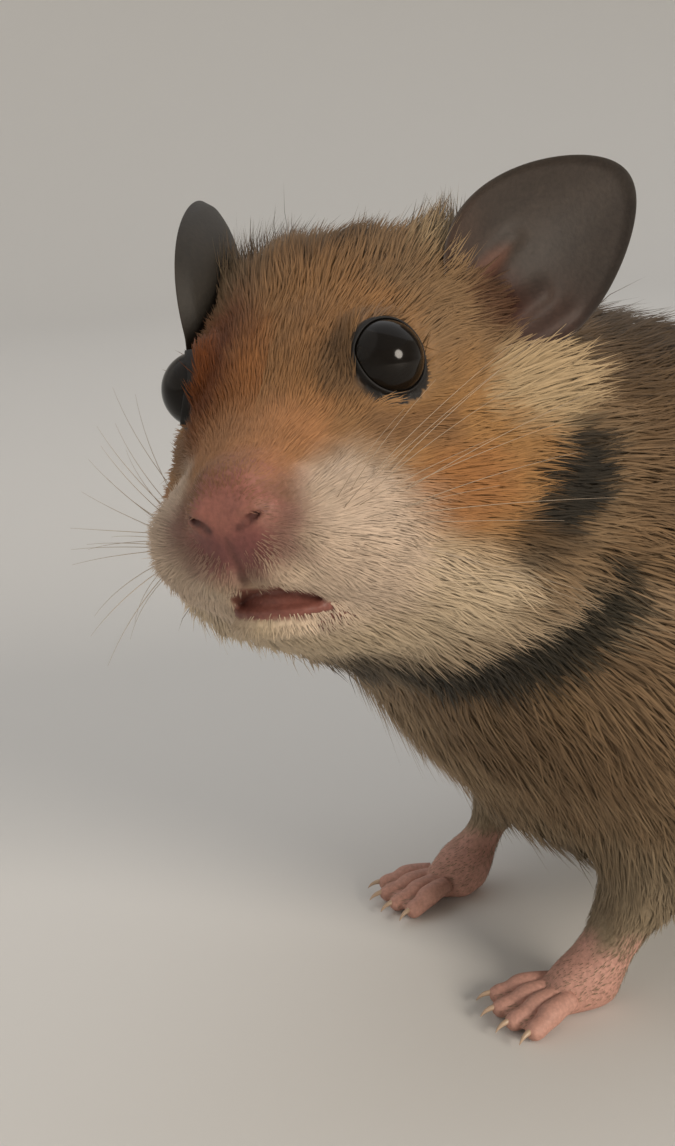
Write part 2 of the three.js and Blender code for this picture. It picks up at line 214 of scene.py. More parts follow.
# Plain pale floor that curves up into a round wall, far outside the model, in metres.
studio = {
    "floor": 0.85, "curve": 0.45, "wall": 0.5, "steps": 12, "rounds": 96,
    "colour": "#d9d7d3", "air": "#f2f1ee", "airStrength": 0.42,
    "aim": (0, 15, 0),  # what the lights point at, in the head's frame
}
lights = {
    # name: azimuth, elevation, distance in m, size in m, power in W, colour
    "key": (114, 19, 0.8, 0.3, 4.9, "#fff4e6"),
    "fill": (-15, 38, 0.95, 1.7, 2.4, "#fff6ee"),
    "back": (-140, 55, 0.95, 1.5, 2.4, "#f6f8ff"),
}


def makeFloor(values):
    flat, curve, rounds = values["floor"], values["curve"], values["rounds"]
    profile = [(flat / 2, 0), (flat, 0)]
    for a in np.linspace(0, math.pi / 2, values["steps"] + 1)[1:]:
        profile.append((flat + curve * math.sin(a), curve * (1 - math.cos(a))))
    profile.append((flat + curve, curve + values["wall"]))
    around = np.linspace(0, 2 * math.pi, rounds, endpoint=False)
    places = [(0, 0, 0)] + [(r * math.cos(a), r * math.sin(a), z) for r, z in profile for a in around]
    index = 1 + np.arange(len(profile) * rounds).reshape(-1, rounds)
    middle = np.stack([0 * index[0], index[0], np.roll(index[0], -1)], -1)
    mesh = bpy.data.meshes.new("floor")
    mesh.from_pydata(places, [], middle.tolist() + ringQuads(index).tolist())
    mesh.shade_smooth()
    # dull paint, so that the floor takes soft shadows and shows no reflection
    paint, _ = newMaterial("paintedStudioFloor", {
        "Base Color": (*srgb(values["colour"]), 1), "Roughness": 0.7})
    mesh.materials.append(paint)
    linked("floor", mesh)


def makeLights(values):
    target = Vector(fromHead(studio["aim"]) * mm)
    for name, (azimuth, elevation, distance, size, power, colour) in values.items():
        data = bpy.data.lights.new(name, "AREA")
        data.shape, data.size, data.energy = "DISK", size, power
        data.color = srgb(colour)
        light = linked(name, data)
        light.location = target + distance * towards(azimuth, elevation)
        light.rotation_mode = "QUATERNION"
        light.rotation_quaternion = (target - light.location).to_track_quat("-Z", "Y")
    world = bpy.data.worlds.new("studioAir")
    bpy.context.scene.world = world
    world.use_nodes = True
    air = world.node_tree.nodes["Background"].inputs
    air["Color"].default_value = (*srgb(studio["air"]), 1)
    air["Strength"].default_value = studio["airStrength"]


makeFloor(studio)
makeLights(lights)
bpy.context.scene.view_settings.view_transform = "Standard"
print("studio made")


# The skin starts as the distance field of the solids of flesh, in mm on plain arrays.
ownSolids = [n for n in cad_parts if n.startswith(("eye_", "ear_"))]
fleshNodes = sorted(set(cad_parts) - set(ownSolids))
skinShape = {
    "voxel": 0.6, "margin": 6.0, "band": 13,
    "sealVoxel": 0.5, "seal": 0.35,  # closes the thin cuts between the solids
    "softness": (0.55, 1.5, 3.2),  # widths of the blurs that are mixed
    # softness by the distance from nose, floor and tail: least, growth per mm, from there on, span
    "softNose": (0.75, 0.1, 7, 40), "softFloor": (0.55, 0.16, 4, 40), "softTail": (0.55, 0.25, 6, 40),
    # depth under the tips of the coat, in the same way
    "deepFloor": (0.12, 0.14, 6, 20), "deepTail": (0.12, 0.2, 6, 20), "deepest": 2.3,
    # depth on the face: growth per mm, from, most, then where it grows on and over what span
    "deepFace": (0.07, 4, 1.2, 24, 15), "lidDepth": 0.12, "lidSpan": (3.5, 10),
    # where the face stands out a little further: place in the head's frame, how wide and how much
    "swell": (((0, 19.5, 20), 7.5, 1.35), ((6.5, 21, 18), 4.5, 0.2), ((6.0, 9.5, 8.4), 2.6, 0.5),
              ((8, 5.5, -3), 3.5, 0.4)),
}
# Where the surface grid is fine and where it may be coarse: (row place in mm, step from there on).
gridSpans = (
    ((-46, 0.9), (-33, 0.55), (0, 0.45), (8, 0.3), (39, 0.5), (47, 0.9), (50, None)),
    ((-80, 0.3), (-53, 0.5), (-32, 0.9), (10, 0.5), (52, 0.9), (68, 0.5), (82, None)),
    ((-2, 0.4), (8, 0.8), (40, 0.45), (48, 0.3), (72, 0.5), (84, None)),
)


def gridAxis(spans):
    parts = [np.linspace(a, b, max(2, round((b - a) / step)), endpoint=False)
             for (a, step), (b, _) in zip(spans, spans[1:])]
    return np.concatenate([*parts, [spans[-1][0]]])


skinAxes = [gridAxis(spans) for spans in gridSpans]


def gridPoints(axes):
    return np.stack(np.meshgrid(*axes, indexing="ij"), -1).astype(np.float32)


def solidTriangles(names):
    corners, faces, count = [], [], 0
    for name in names:
        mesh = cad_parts[name].data
        mesh.calc_loop_triangles()
        triangles = np.zeros(len(mesh.loop_triangles) * 3, np.int32)
        mesh.loop_triangles.foreach_get("vertices", triangles)
        corners.append(cornersOf(mesh))
        faces.append(triangles.reshape(-1, 3) + count)
        count += len(mesh.vertices)
    return np.concatenate(corners), np.concatenate(faces)


def levelSet(points, triangles, voxel, band, quads=None):
    extra = {} if quads is None else {"quads": np.ascontiguousarray(quads, np.uint32)}
    return vdb.FloatGrid.createLevelSetFromPolygons(
        np.ascontiguousarray(points, np.float32), triangles=np.ascontiguousarray(triangles, np.uint32),
        transform=vdb.createLinearTransform(voxelSize=voxel), halfWidth=band, **extra)


def denseField(grid, low, high, voxel):
    start = np.floor(low / voxel).astype(int)
    field = np.zeros(np.ceil(high / voxel).astype(int) - start, np.float32)
    grid.copyToArray(field, ijk=tuple(int(v) for v in start))
    return field, start * voxel


def blurred(field, sigma):
    reach = max(1, math.ceil(sigma * 2.6))
    weights = np.exp(-0.5 * (np.arange(-reach, reach + 1) / sigma) ** 2)
    weights /= weights.sum()
    for way in range(3):
        padded = np.pad(field, [(reach, reach) if w == way else (0, 0) for w in range(3)], mode="edge")
        size = field.shape[way]
        field = sum(w * np.take(padded, range(i, i + size), way) for i, w in enumerate(weights))
        field = field.astype(np.float32)
    return field


def resampled(field, start, voxel, axes):
    # a cubic B-spline along each way in turn
    for way, axis in enumerate(axes):
        place = np.clip((axis - start[way]) / voxel, 1, field.shape[way] - 3.001)
        low = place.astype(int)
        t = place - low
        shape = [1, 1, 1]
        shape[way] = -1
        weights = ((1 - t) ** 3 / 6, (3 * t**3 - 6 * t**2 + 4) / 6,
                   (-3 * t**3 + 3 * t**2 + 3 * t + 1) / 6, t**3 / 6)
        field = sum(np.take(field, low + i - 1, way) * w.reshape(shape).astype(np.float32)
                    for i, w in enumerate(weights))
    return field


def growing(away, least, growth, start, span):
    return least + growth * np.clip(away - start, 0, span)


def softnessAt(places):
    # how far the solids' flat faces are rounded off: least on the muzzle and paws, most on the trunk
    fromNose = np.linalg.norm(toHead(places) - (0, 4, -3), axis=-1)
    fromTail = np.linalg.norm(places - (0, 73, 17), axis=-1)
    amount = np.minimum(growing(fromNose, *skinShape["softNose"]),
                        growing(places[..., 2], *skinShape["softFloor"]))
    amount = np.minimum(amount, growing(fromTail, *skinShape["softTail"]))
    return np.clip(amount, skinShape["softness"][0], skinShape["softness"][-1])


def depthAt(places):
    # how deep the skin lies under the tips of the coat, which is not at all at the nose and the lids
    head = toHead(places)
    fromNose = np.linalg.norm(head - (0, 1, -2), axis=-1)
    fromTail = np.linalg.norm(places - (0, 74, 16.5), axis=-1)
    growth, start, most, again, span = skinShape["deepFace"]
    face = np.clip(growth * (fromNose - start), 0.0, most) + growth * np.clip(fromNose - again, 0, span)
    onLeft = mirrored(head)
    for place, width, amount in skinShape["swell"]:
        face -= amount * np.exp(-(np.linalg.norm(onLeft - place, axis=-1) / width) ** 2)
    atLid = skinShape["lidDepth"]
    face = face * (atLid + (1 - atLid) * ramp(eyeDistance(head), *skinShape["lidSpan"]))
    paw = growing(places[..., 2], *skinShape["deepFloor"])
    tail = growing(fromTail, *skinShape["deepTail"])
    return np.minimum(np.minimum(face, paw), np.minimum(tail, skinShape["deepest"]))


def skinField():
    values = skinShape
    voxel = values["voxel"]
    points, triangles = solidTriangles(fleshNodes)
    low, high = points.min(0) - values["margin"], points.max(0) + values["margin"]
    sealed = levelSet(points, triangles, values["sealVoxel"], 3).convertToPolygons(isovalue=values["seal"])
    points, triangles, quads = sealed
    field, start = denseField(levelSet(points, triangles, voxel, values["band"], quads), low, high, voxel)
    places = gridPoints([start[way] + np.arange(field.shape[way]) * voxel for way in range(3)])
    softness = softnessAt(places)
    levels = [blurred(field, width / voxel) for width in values["softness"]]
    mixed = levels[0]
    for i, (a, b) in enumerate(zip(values["softness"], values["softness"][1:])):
        mixed = mixed + np.clip((softness - a) / (b - a), 0, 1) * (levels[i + 1] - levels[i])
    mixed = mixed + values["seal"] + depthAt(places)
    return resampled(mixed.astype(np.float32), start, voxel, skinAxes)


def alongSegment(points, start, end):
    # the share of the way along a segment where it comes nearest, and how far off it is there
    start, end = np.array(start, float), np.array(end, float)
    along = end - start
    part = np.clip((points - start) @ along / (along @ along), 0, 1)
    nearest = start + part[..., None] * along
    return part, np.linalg.norm(points - nearest, axis=-1)


def ellipsoid(points, middle, radii):
    p = (points - middle) / radii
    size = np.linalg.norm(p, axis=-1)
    return size * (size - 1) / np.maximum(np.linalg.norm(p / radii, axis=-1), 1e-6)


def taper(points, start, end, startRadius, endRadius):
    part, away = alongSegment(points, start, end)
    return away - (startRadius + (endRadius - startRadius) * part)


def headBlock(place, reach):
    # the part of the grid within reach of a place in the head's frame
    row = fromHead(place)
    block = tuple(slice(*np.searchsorted(axis, (c - reach, c + reach))) for axis, c in zip(skinAxes, row))
    return block, toHead(gridPoints([axis[b] for axis, b in zip(skinAxes, block)]))


def joined(old, new, blend):
    near = np.maximum(blend - np.abs(old - new), 0)
    return np.minimum(old, new) - near * near / (4 * blend)


def mould(field, block, shape, blend, cut=False):
    # adds a shape to the field, or cuts it out, with a soft edge blend mm wide
    field[block] = -joined(-field[block], shape, blend) if cut else joined(field[block], shape, blend)


# Every shape is given for the left side, in the head's frame.
eyeShape = {
    "radius": 3.2, "axis": (0.83, -0.5, 0.22), "socket": 3.3,
    "plug": 3.62, "plugDepth": 0.72,  # the round of flesh that the eyeball sits in
}
muzzle = {
    # middle, radii, blend
    "pad": ((5.2, 6.6, -3.0), (4.9, 5.6, 4.4), 2.0),
    "lipLobe": ((2.2, 2.5, -4.9), (2.3, 2.5, 1.5), 1.0),
    "noseWing": ((1.9, 0.2, -0.1), (1.45, 1.4, 1.5), 0.7),
    "noseTop": ((0.9, 1.6, 1.9), (2.0, 2.2, 1.6), 1.0),
    # a comma: from its low inner end, by its wide middle, to its thin outer tip, with radii
    "nostril": (((1.3, -1.25, -1.35), 0.2), ((1.95, -1.05, -0.85), 0.36),
                ((2.6, -0.7, -0.45), 0.24), ((3.15, -0.1, -0.1), 0.12)),
    # the groove under the nose, in the same way
    "philtrum": (((0, -1.5, -1.8), 0.26), ((0, 0.2, -4.9), 0.3), ((0, 1.8, -6.6), 0.55)),
    "lowerLip": ((0.2, 3.7, -9.3), (3.6, 2.2, 1.0)),
    "tongue": ((0.9, 5.6, -8.35), (4.6, 3.8, 1.0)),
    # the gap between the lips, and what is seen a little way behind them
    "mouth": ((0.95, 4.2, -6.95), (3.6, 4.8, 0.78)),
    "gums": ((0.95, 7.3, -7.2), (4.4, 4.8, 1.9)),
    "lipSlope": (-0.34, 1.5),  # how the lips drop towards their corners, and from how far back
    "lowerHalf": (7.0, 7.6),  # under the nose along that slope, where the lower lip begins
}
eyeAxis = unit(np.array(eyeShape["axis"]))


def eyeCentre(side):
    return np.array(headPose["eye"]) * (side, 1, 1)


def levelLips(head):
    slope, start = muzzle["lipSlope"]
    level = head.copy()
    level[..., 2] -= slope * (head[..., 1] - start)
    return level


def mouthSpace(head, name="mouth"):
    return ellipsoid(levelLips(head), *muzzle[name])


def grooves(field, block, places, path, mirror, blend):
    for (start, startRadius), (end, endRadius) in zip(path, path[1:]):
        groove = taper(places, start * mirror, end * mirror, startRadius, endRadius)
        mould(field, block, groove, blend, cut=True)


def faceDetails(field):
    for _, side in sides:
        mirror = np.array((side, 1, 1))
        for name in ("pad", "lipLobe", "noseWing", "noseTop"):
            middle, radii, blend = muzzle[name]
            block, p = headBlock(middle * mirror, max(radii) + 2)
            mould(field, block, ellipsoid(p, middle * mirror, radii), blend)
        centre = eyeCentre(side)
        block, p = headBlock(centre, 7)
        plug = centre - eyeAxis * mirror * eyeShape["plugDepth"]
        mould(field, block, ellipsoid(p, plug, np.full(3, eyeShape["plug"])), 1.2)
        mould(field, block, ellipsoid(p, centre, np.full(3, eyeShape["socket"])), 0.12, cut=True)
    block, p = headBlock((0, 3.5, -9.5), 7)
    mould(field, block, ellipsoid(p, *muzzle["lowerLip"]), 0.8)
    block, p = headBlock((0, 3, -6), 10)
    grooves(field, block, p, muzzle["philtrum"], np.ones(3), 0.4)
    mould(field, block, mouthSpace(p), 0.5, cut=True)
    mould(field, block, ellipsoid(p, *muzzle["tongue"]), 0.3)
    mould(field, block, mouthSpace(p, "gums"), 0.3)
    for _, side in sides:
        block, p = headBlock((2 * side, 0, -0.8), 4)
        grooves(field, block, p, muzzle["nostril"], np.array((side, 1, 1)), 0.25)
    return field


def surfaceOf(field, axes):
    grid = vdb.FloatGrid(3.0)
    grid.copyFromArray(np.clip(field, -3, 3).astype(np.float32))
    points, quads = grid.convertToQuads(isovalue=0)
    places = [np.interp(points[:, way], np.arange(len(axis)), axis) for way, axis in enumerate(axes)]
    points = np.stack(places, -1)
    return points, outward(points, quads)


def quadNormals(points, quads):
    corner = points[quads]
    across = np.cross(corner[:, 2] - corner[:, 0], corner[:, 3] - corner[:, 1])
    normals = np.zeros_like(points)
    for k in range(4):
        for way in range(3):
            normals[:, way] += np.bincount(quads[:, k], across[:, way], len(points))
    return unit(normals), np.linalg.norm(across, axis=-1) / 2


points, quads = surfaceOf(faceDetails(skinField()), skinAxes)
skinNormals, quadAreas = quadNormals(points, quads)
print("skin surface made", len(quads))


# Ears: thin cups with a rolled rim, folds above the canal and a funnel at the root.
earShape = {
    "width": 14.1, "length": 20.2, "cup": 2.8, "taper": 0.26, "rimRoll": 0.35,
    "root": (10.4, 24.5, 13.5),
    # how each ear is carried: facing and lean in degrees, and from the root to the cup's middle
    "left": {"facing": 48, "lean": 29.2, "middle": (1.1, 7.9)},
    "right": {"facing": 74, "lean": 43, "middle": (-2.8, 4.0)},
    "thickness": (0.95, 0.42),  # at the root and at the rim
    # ridges in the cup, on its outline from -1 to 1: from, to, width, and height in mm
    "ridges": (((0.28, -1.0), (0.45, -0.2), 0.13, 0.9), ((-0.1, -1.0), (-0.25, -0.1), 0.12, 0.55),
               ((0.6, -0.75), (0.8, -0.1), 0.1, 0.5), ((0.1, -1.0), (0.12, -0.55), 0.2, -1.1)),
    "rounds": 112, "rows": 34,
}


def earFrame(name):
    carriage = earShape[name]
    turn = turned("Z", carriage["facing"]) @ turned("X", 90) @ turned("Z", carriage["lean"] - 90)
    mirror = np.array((dict(sides)[name], 1, 1))
    return turn, np.array(earShape["root"]), np.array((*carriage["middle"], 0)), mirror


def fromEar(places, name):
    turn, root, middle, mirror = earFrame(name)
    return fromHead(((places + middle) @ turn.T + root) * mirror)


def toEar(places, name):
    turn, root, middle, mirror = earFrame(name)
    return (toHead(places) * mirror - root) @ turn - middle


def onOutline(ear):
    # across and up the ear's flat outline, each from -1 to 1
    return ear[:, 0] / (earShape["width"] / 2), ear[:, 1] / (earShape["length"] / 2)


def earSheet(x, y):
    # height of the middle of the ear's wall over its flat outline
    rim = x * x + y * y
    height = earShape["cup"] * rim
    for start, end, width, amount in earShape["ridges"]:
        _, away = alongSegment(np.stack([x, y], -1), start, end)
        height = height + amount * np.exp(-(away / width) ** 2)
    return height + earShape["rimRoll"] * ramp(rim, 0.8, 1.0)


def earMesh(name):
    values = earShape
    rounds, rows = values["rounds"], values["rows"]
    atRoot, atRim = values["thickness"]
    angle = np.linspace(0, 2 * math.pi, rounds, endpoint=False)
    r, a = np.meshgrid(np.sin(np.linspace(0, math.pi / 2, rows + 1))[1:], angle, indexing="ij")
    x, y = r * np.cos(a), r * np.sin(a)
    thickness = (atRim + (atRoot - atRim) * ramp(-y, -0.3, 0.9)) * np.sqrt(np.clip(1 - r**6, 0, 1))
    across, along = x * values["width"] / 2 * (1 - values["taper"] * y), y * values["length"] / 2
    front, back = (np.stack([across, along, earSheet(x, y) + side * thickness / 2], -1) for side in (1, -1))
    centre, wall = earSheet(np.zeros(1), np.zeros(1))[0], (atRoot + atRim) / 4
    places = np.concatenate([front.reshape(-1, 3), back[:-1].reshape(-1, 3),
                             [(0, 0, centre + wall), (0, 0, centre - wall)]])
    # both sheets share the corners of the outermost ring
    frontIndex = np.arange(rows * rounds).reshape(rows, rounds)
    backIndex = np.concatenate([frontIndex[:-1] + rows * rounds, frontIndex[-1:]])
    triangles = []
    for index, top, flip in ((frontIndex, len(places) - 2, 1), (backIndex, len(places) - 1, -1)):
        cap = np.stack([np.full(rounds, top), index[0], np.roll(index[0], -1)], -1)
        triangles += [*halves(ringQuads(index)[:, ::flip]), cap[:, ::flip]]
    places = fromEar(places, name)
    return places, outward(places, np.concatenate(triangles))


# Lids: a thin rounded rim that hugs the eyeball, a shallow fold behind it, and a wall that dives
# under the coat. The opening is a little longer towards its two corners.
lidShape = {
    "open": 66, "long": 2.0, "corner": 4.0,  # degrees from the eye's axis to the rim
    "cornerWidth": 0.32,  # radians round the opening
    "tilt": -24,  # degrees from the horizontal to the line through the corners
    "inner": 3.215, "rim": 0.1, "innerRows": (30, 12),
    # degrees behind the rim, and radius
    "wall": ((4.5, 3.41), (7.5, 3.38), (12, 3.4), (18, 3.42), (30, 3.38)), "outer": 3.42,
    "bottom": 110, "rounds": 96,
}


def lidFrame(side):
    axis = eyeAxis * (side, 1, 1)
    forward = unit(np.array((0, -1, 0)) + axis * axis[1])
    up = np.cross(axis, forward) * side
    tilt = math.radians(lidShape["tilt"])
    tiltedForward = forward * math.cos(tilt) + up * math.sin(tilt)
    return axis, tiltedForward, up * math.cos(tilt) - forward * math.sin(tilt)


def lidAngle(around):
    # degrees from the eye's axis to the rim, going round from the corner next to the nose
    values = lidShape
    corner = np.exp(-(np.angle(np.exp(1j * around)) / values["cornerWidth"]) ** 2)
    return values["open"] + values["long"] * np.cos(2 * around) + values["corner"] * corner


def lidMesh(side):
    values = lidShape
    axis, forward, up = lidFrame(side)
    around = np.linspace(0, 2 * math.pi, values["rounds"], endpoint=False)
    sideways = forward * np.cos(around)[:, None] + up * np.sin(around)[:, None]
    rim = lidAngle(around)
    middle = values["inner"] + values["rim"]
    backOff = math.degrees(values["rim"] / middle)
    profile = [(values["bottom"] - rim, values["inner"])]
    profile += [(behind, values["inner"]) for behind in values["innerRows"]]
    for a in np.radians(range(-90, 91, 30)):
        profile.append((backOff * (1 - math.cos(a)), middle + values["rim"] * math.sin(a)))
    profile += [*values["wall"], (values["bottom"] - rim, values["outer"])]
    rings = []
    for behind, radius in profile:
        angle = np.radians(rim + behind)[:, None]
        rings.append(eyeCentre(side) + radius * (axis * np.cos(angle) + sideways * np.sin(angle)))
    index = np.arange(len(rings) * len(around)).reshape(len(rings), -1)
    triangles = np.concatenate(halves(ringQuads(np.concatenate([index, index[:1]]))))
    places = fromHead(np.concatenate(rings))
    return places, outward(places, triangles)


# Toes: round fingers with a knuckle and a pad, fanned out forward from each palm.
pawShape = {
    # palm from the claws' tips backwards, its half width and half length, number and length of toes
    "forepaw": {"behindTips": 11.8, "half": (4, 5), "toes": 4, "length": 5.2},
    "hind_foot": {"behindTips": 18.0, "half": (4.4, 12), "toes": 5, "length": 6.4},
    "spread": 13, "outerLoss": 0.07, "spacing": 0.42, "rootAhead": 0.7,
    # along the toe: share of its length, height and radius in mm
    "profile": ((-0.35, 2.2, 1.0), (0.05, 2.1, 1.12), (0.35, 1.85, 1.2), (0.6, 1.4, 1.0),
                (0.85, 1.12, 0.98), (1.0, 1.05, 0.72), (1.06, 1.0, 0.3)),
    # from the toe's tip: forward, height and radius in mm
    "claw": ((-0.5, 1.3, 0.27), (0.2, 1.36, 0.3), (0.8, 1.25, 0.24), (1.3, 0.98, 0.15), (1.65, 0.6, 0.03)),
}
pawNodes = ["forepaw_left", "forepaw_right", "hind_foot_left", "hind_foot_right"]


def smoothed(path, steps=4):
    # a Catmull-Rom curve through the rows of a path
    path = np.asarray(path, float)
    ends = np.concatenate([[2 * path[0] - path[1]], path, [2 * path[-1] - path[-2]]])
    t = np.arange(steps)[:, None] / steps
    made = []
    for a, b, c, d in zip(ends, ends[1:], ends[2:], ends[3:]):
        bend, swing = 2 * a - 5 * b + 4 * c - d, 3 * b - a - 3 * c + d
        made.append(0.5 * (2 * b + (c - a) * t + bend * t**2 + swing * t**3))
    return np.concatenate([*made, path[-1:]])


def tube(path, radii, rounds=18):
    # a closed round solid along a path
    along = unit(np.gradient(path, axis=0))
    sideways = unit(np.cross(along, (0, 0, 1)))
    over = np.cross(sideways, along)
    angle = np.linspace(0, 2 * math.pi, rounds, endpoint=False)[None, :, None]
    circle = sideways[:, None] * np.cos(angle) + over[:, None] * np.sin(angle)
    rings = path[:, None] + radii[:, None, None] * circle
    index = np.arange(len(path) * rounds).reshape(len(path), rounds)
    ahead = np.roll(index, -1, 1)
    quads = np.stack([index[:-1], ahead[:-1], ahead[1:], index[1:]], -1).reshape(-1, 4)
    caps = [np.stack([np.full(rounds, index.size + end), ring, np.roll(ring, flip)], -1)
            for end, ring, flip in ((0, index[0], 1), (1, index[-1], -1))]
    places = np.concatenate([rings.reshape(-1, 3), path[:1], path[-1:]])
    return places, outward(places, np.concatenate([*halves(quads), *caps]))


def toesOf(node):
    # root, direction and length of every toe of a paw
    values = pawShape[node.rsplit("_", 1)[0]]
    low, high = (np.array(end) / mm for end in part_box(node))
    palm = np.array(((low[0] + high[0]) / 2, low[1] + values["behindTips"]))
    halfWidth, halfLength = values["half"]
    for i in range(values["toes"]):
        across = i - (values["toes"] - 1) / 2
        angle = math.radians(across * pawShape["spread"])
        root = palm + (across * halfWidth * pawShape["spacing"], -halfLength * pawShape["rootAhead"])
        length = values["length"] * (1 - pawShape["outerLoss"] * across**2)
        yield root, np.array((math.sin(angle), -math.cos(angle))), length


def toeMesh(root, way, length):
    rows = smoothed([(*(root + way * length * share), height, radius)
                     for share, height, radius in pawShape["profile"]])
    return tube(rows[:, :3], np.maximum(rows[:, 3], 0.05))


def unite(main, others):
    for other in others:
        step = main.modifiers.new("join", "BOOLEAN")
        step.operation, step.object, step.solver = "UNION", other, "MANIFOLD"
    settle(main)
    for other in others:
        bpy.data.objects.remove(other)


# Where the skin keeps all its faces, in mm from the nose, the eyes, the ears and the floor, and what
# share of them it keeps elsewhere.
skinThinning = {"nose": 9, "eye": 5, "ear": 13, "floor": 7, "share": 0.5, "pull": 10}


def isFine(row):
    values = skinThinning
    head = toHead(row)
    fine = (head[:, 1] < values["nose"]) | (row[:, 2] < values["floor"])
    fine |= eyeDistance(head) < values["eye"]
    for name, _ in sides:
        fine |= np.linalg.norm(toEar(row, name), axis=-1) < values["ear"]
    return fine


def thinOut(thing):
    # fewer faces where the coat hides the skin
    group = thing.vertex_groups.new(name="hidden")
    hidden = np.nonzero(~isFine(cornersOf(thing.data)))[0]
    group.add(hidden.tolist(), 1.0, "REPLACE")
    step = thing.modifiers.new("thin", "DECIMATE")
    step.ratio, step.vertex_group = skinThinning["share"], "hidden"
    step.vertex_group_factor = skinThinning["pull"]
    settle(thing)
    thing.vertex_groups.clear()


skin = newMesh("skin", points, quads)
added = [newMesh("ear_" + name, *earMesh(name)) for name, _ in sides]
added += [newMesh("lid_" + name, *lidMesh(side)) for name, side in sides]
added += [newMesh("toe", *toeMesh(*toe)) for node in pawNodes for toe in toesOf(node)]
unite(skin, added)
thinOut(skin)
print("ears, lids and toes joined to the skin", len(skin.data.polygons))


# How the coat lies. Each place has the way the hair runs, its length in mm, how far it stands off the
# skin in degrees, the width of a tuft in mm and how many tufts there are to a square mm.
headLie = {
    "noseTop": ((0, 2.0, 2.6), (0, 0.9, 0.5), 0.7, 12, 0.1, 20),
    "noseSide": ((3.2, 2.2, 0.5), (0.5, 0.85, 0.1), 0.7, 12, 0.1, 20),
    "bridge": ((0, 7, 5.5), (0, 0.85, 0.5), 1.3, 8, 0.12, 29),
    "muzzleTop": ((5, 6, 2.5), (0.45, 0.85, 0.2), 1.7, 8, 0.12, 31),
    "whiskerPad": ((6.8, 4, -1.5), (0.5, 0.85, -0.1), 2.0, 9, 0.12, 32),
    "lipEdge": ((3.5, 1.5, -5.2), (0.45, 0.75, -0.5), 1.1, 14, 0.11, 24),
    "lipRim": ((1.8, 1.1, -6.0), (0.3, 0.2, -1), 0.7, 14, 0.1, 20),
    "lowerLip": ((0, 2.4, -10.2), (0, 0.15, -1), 0.8, 14, 0.12, 18),
    "lowerLipSide": ((3.6, 4.2, -10.2), (0.3, 0.3, -1), 0.9, 14, 0.12, 18),
    "lipSide": ((7.5, 6.5, -6), (0.45, 0.8, -0.4), 2.4, 10, 0.13, 28),
    "chin": ((1.5, 5, -11), (0.1, 0.8, -0.6), 1.8, 11, 0.14, 23),
    "chinSide": ((5, 10, -12.5), (0.3, 0.8, -0.5), 3.0, 14, 0.16, 20),
    "jowl": ((11.5, 11.5, -10), (0.4, 0.85, -0.4), 4.6, 13, 0.18, 20),
    "jowlBack": ((16, 18, -10), (0.35, 0.85, -0.45), 6.5, 18, 0.22, 13),
    "throat": ((4, 20, -18), (0.1, 0.85, -0.5), 5.5, 15, 0.24, 10),
    "forehead": ((0, 12, 12.5), (0, 0.85, 0.5), 2.6, 9, 0.14, 26),
    "crownFront": ((0, 17, 17.5), (0, 0.9, 0.35), 3.4, 13, 0.17, 20),
    "crownSide": ((5.5, 20, 18.5), (0.2, 0.9, 0.3), 3.6, 14, 0.16, 19),
    "crown": ((0, 24, 20), (0, 1, 0.05), 4.8, 14, 0.21, 13),
    "nape": ((0, 34, 19), (0, 1, -0.15), 7.5, 16, 0.3, 6.5),
    "brow": ((5, 11, 11.5), (0.15, 0.8, 0.6), 2.1, 10, 0.13, 27),
    "eyeFront": ((5.4, 9.5, 7.6), (0.1, 0.6, 0.7), 1.3, 15, 0.12, 26),
    "eyeTop": ((8.3, 13.6, 13.2), (0.45, 0.85, 0.25), 1.9, 24, 0.14, 24),
    "eyeUnder": ((10.2, 10.6, 4.4), (0.5, 0.85, -0.1), 1.7, 16, 0.14, 24),
    "eyeBack": ((12.4, 17, 9.5), (0.4, 0.9, 0.05), 2.5, 11, 0.15, 23),
    "cheekFront": ((11.5, 9, -2), (0.5, 0.85, -0.2), 2.7, 9, 0.14, 27),
    "cheek": ((15, 13, 0), (0.4, 0.9, -0.2), 3.8, 11, 0.18, 20),
    "cheekBack": ((18, 20, -1), (0.3, 0.95, -0.25), 5.6, 16, 0.22, 14),
    "underEar": ((17, 24, 6), (0.45, 0.85, -0.05), 7, 26, 0.25, 11),
    "besideEar": ((14, 21, 11), (0.5, 0.8, 0.1), 3.4, 16, 0.17, 18),
    "earFront": ((9.6, 23.4, 17.8), (0.3, 0.35, 0.9), 5.0, 40, 0.11, 24),
    "behindEar": ((11, 30, 15), (0.35, 0.9, 0.1), 6, 18, 0.26, 9),
    "neckSide": ((20, 32, 2), (0.25, 0.95, -0.25), 8.5, 18, 0.24, 11),
}
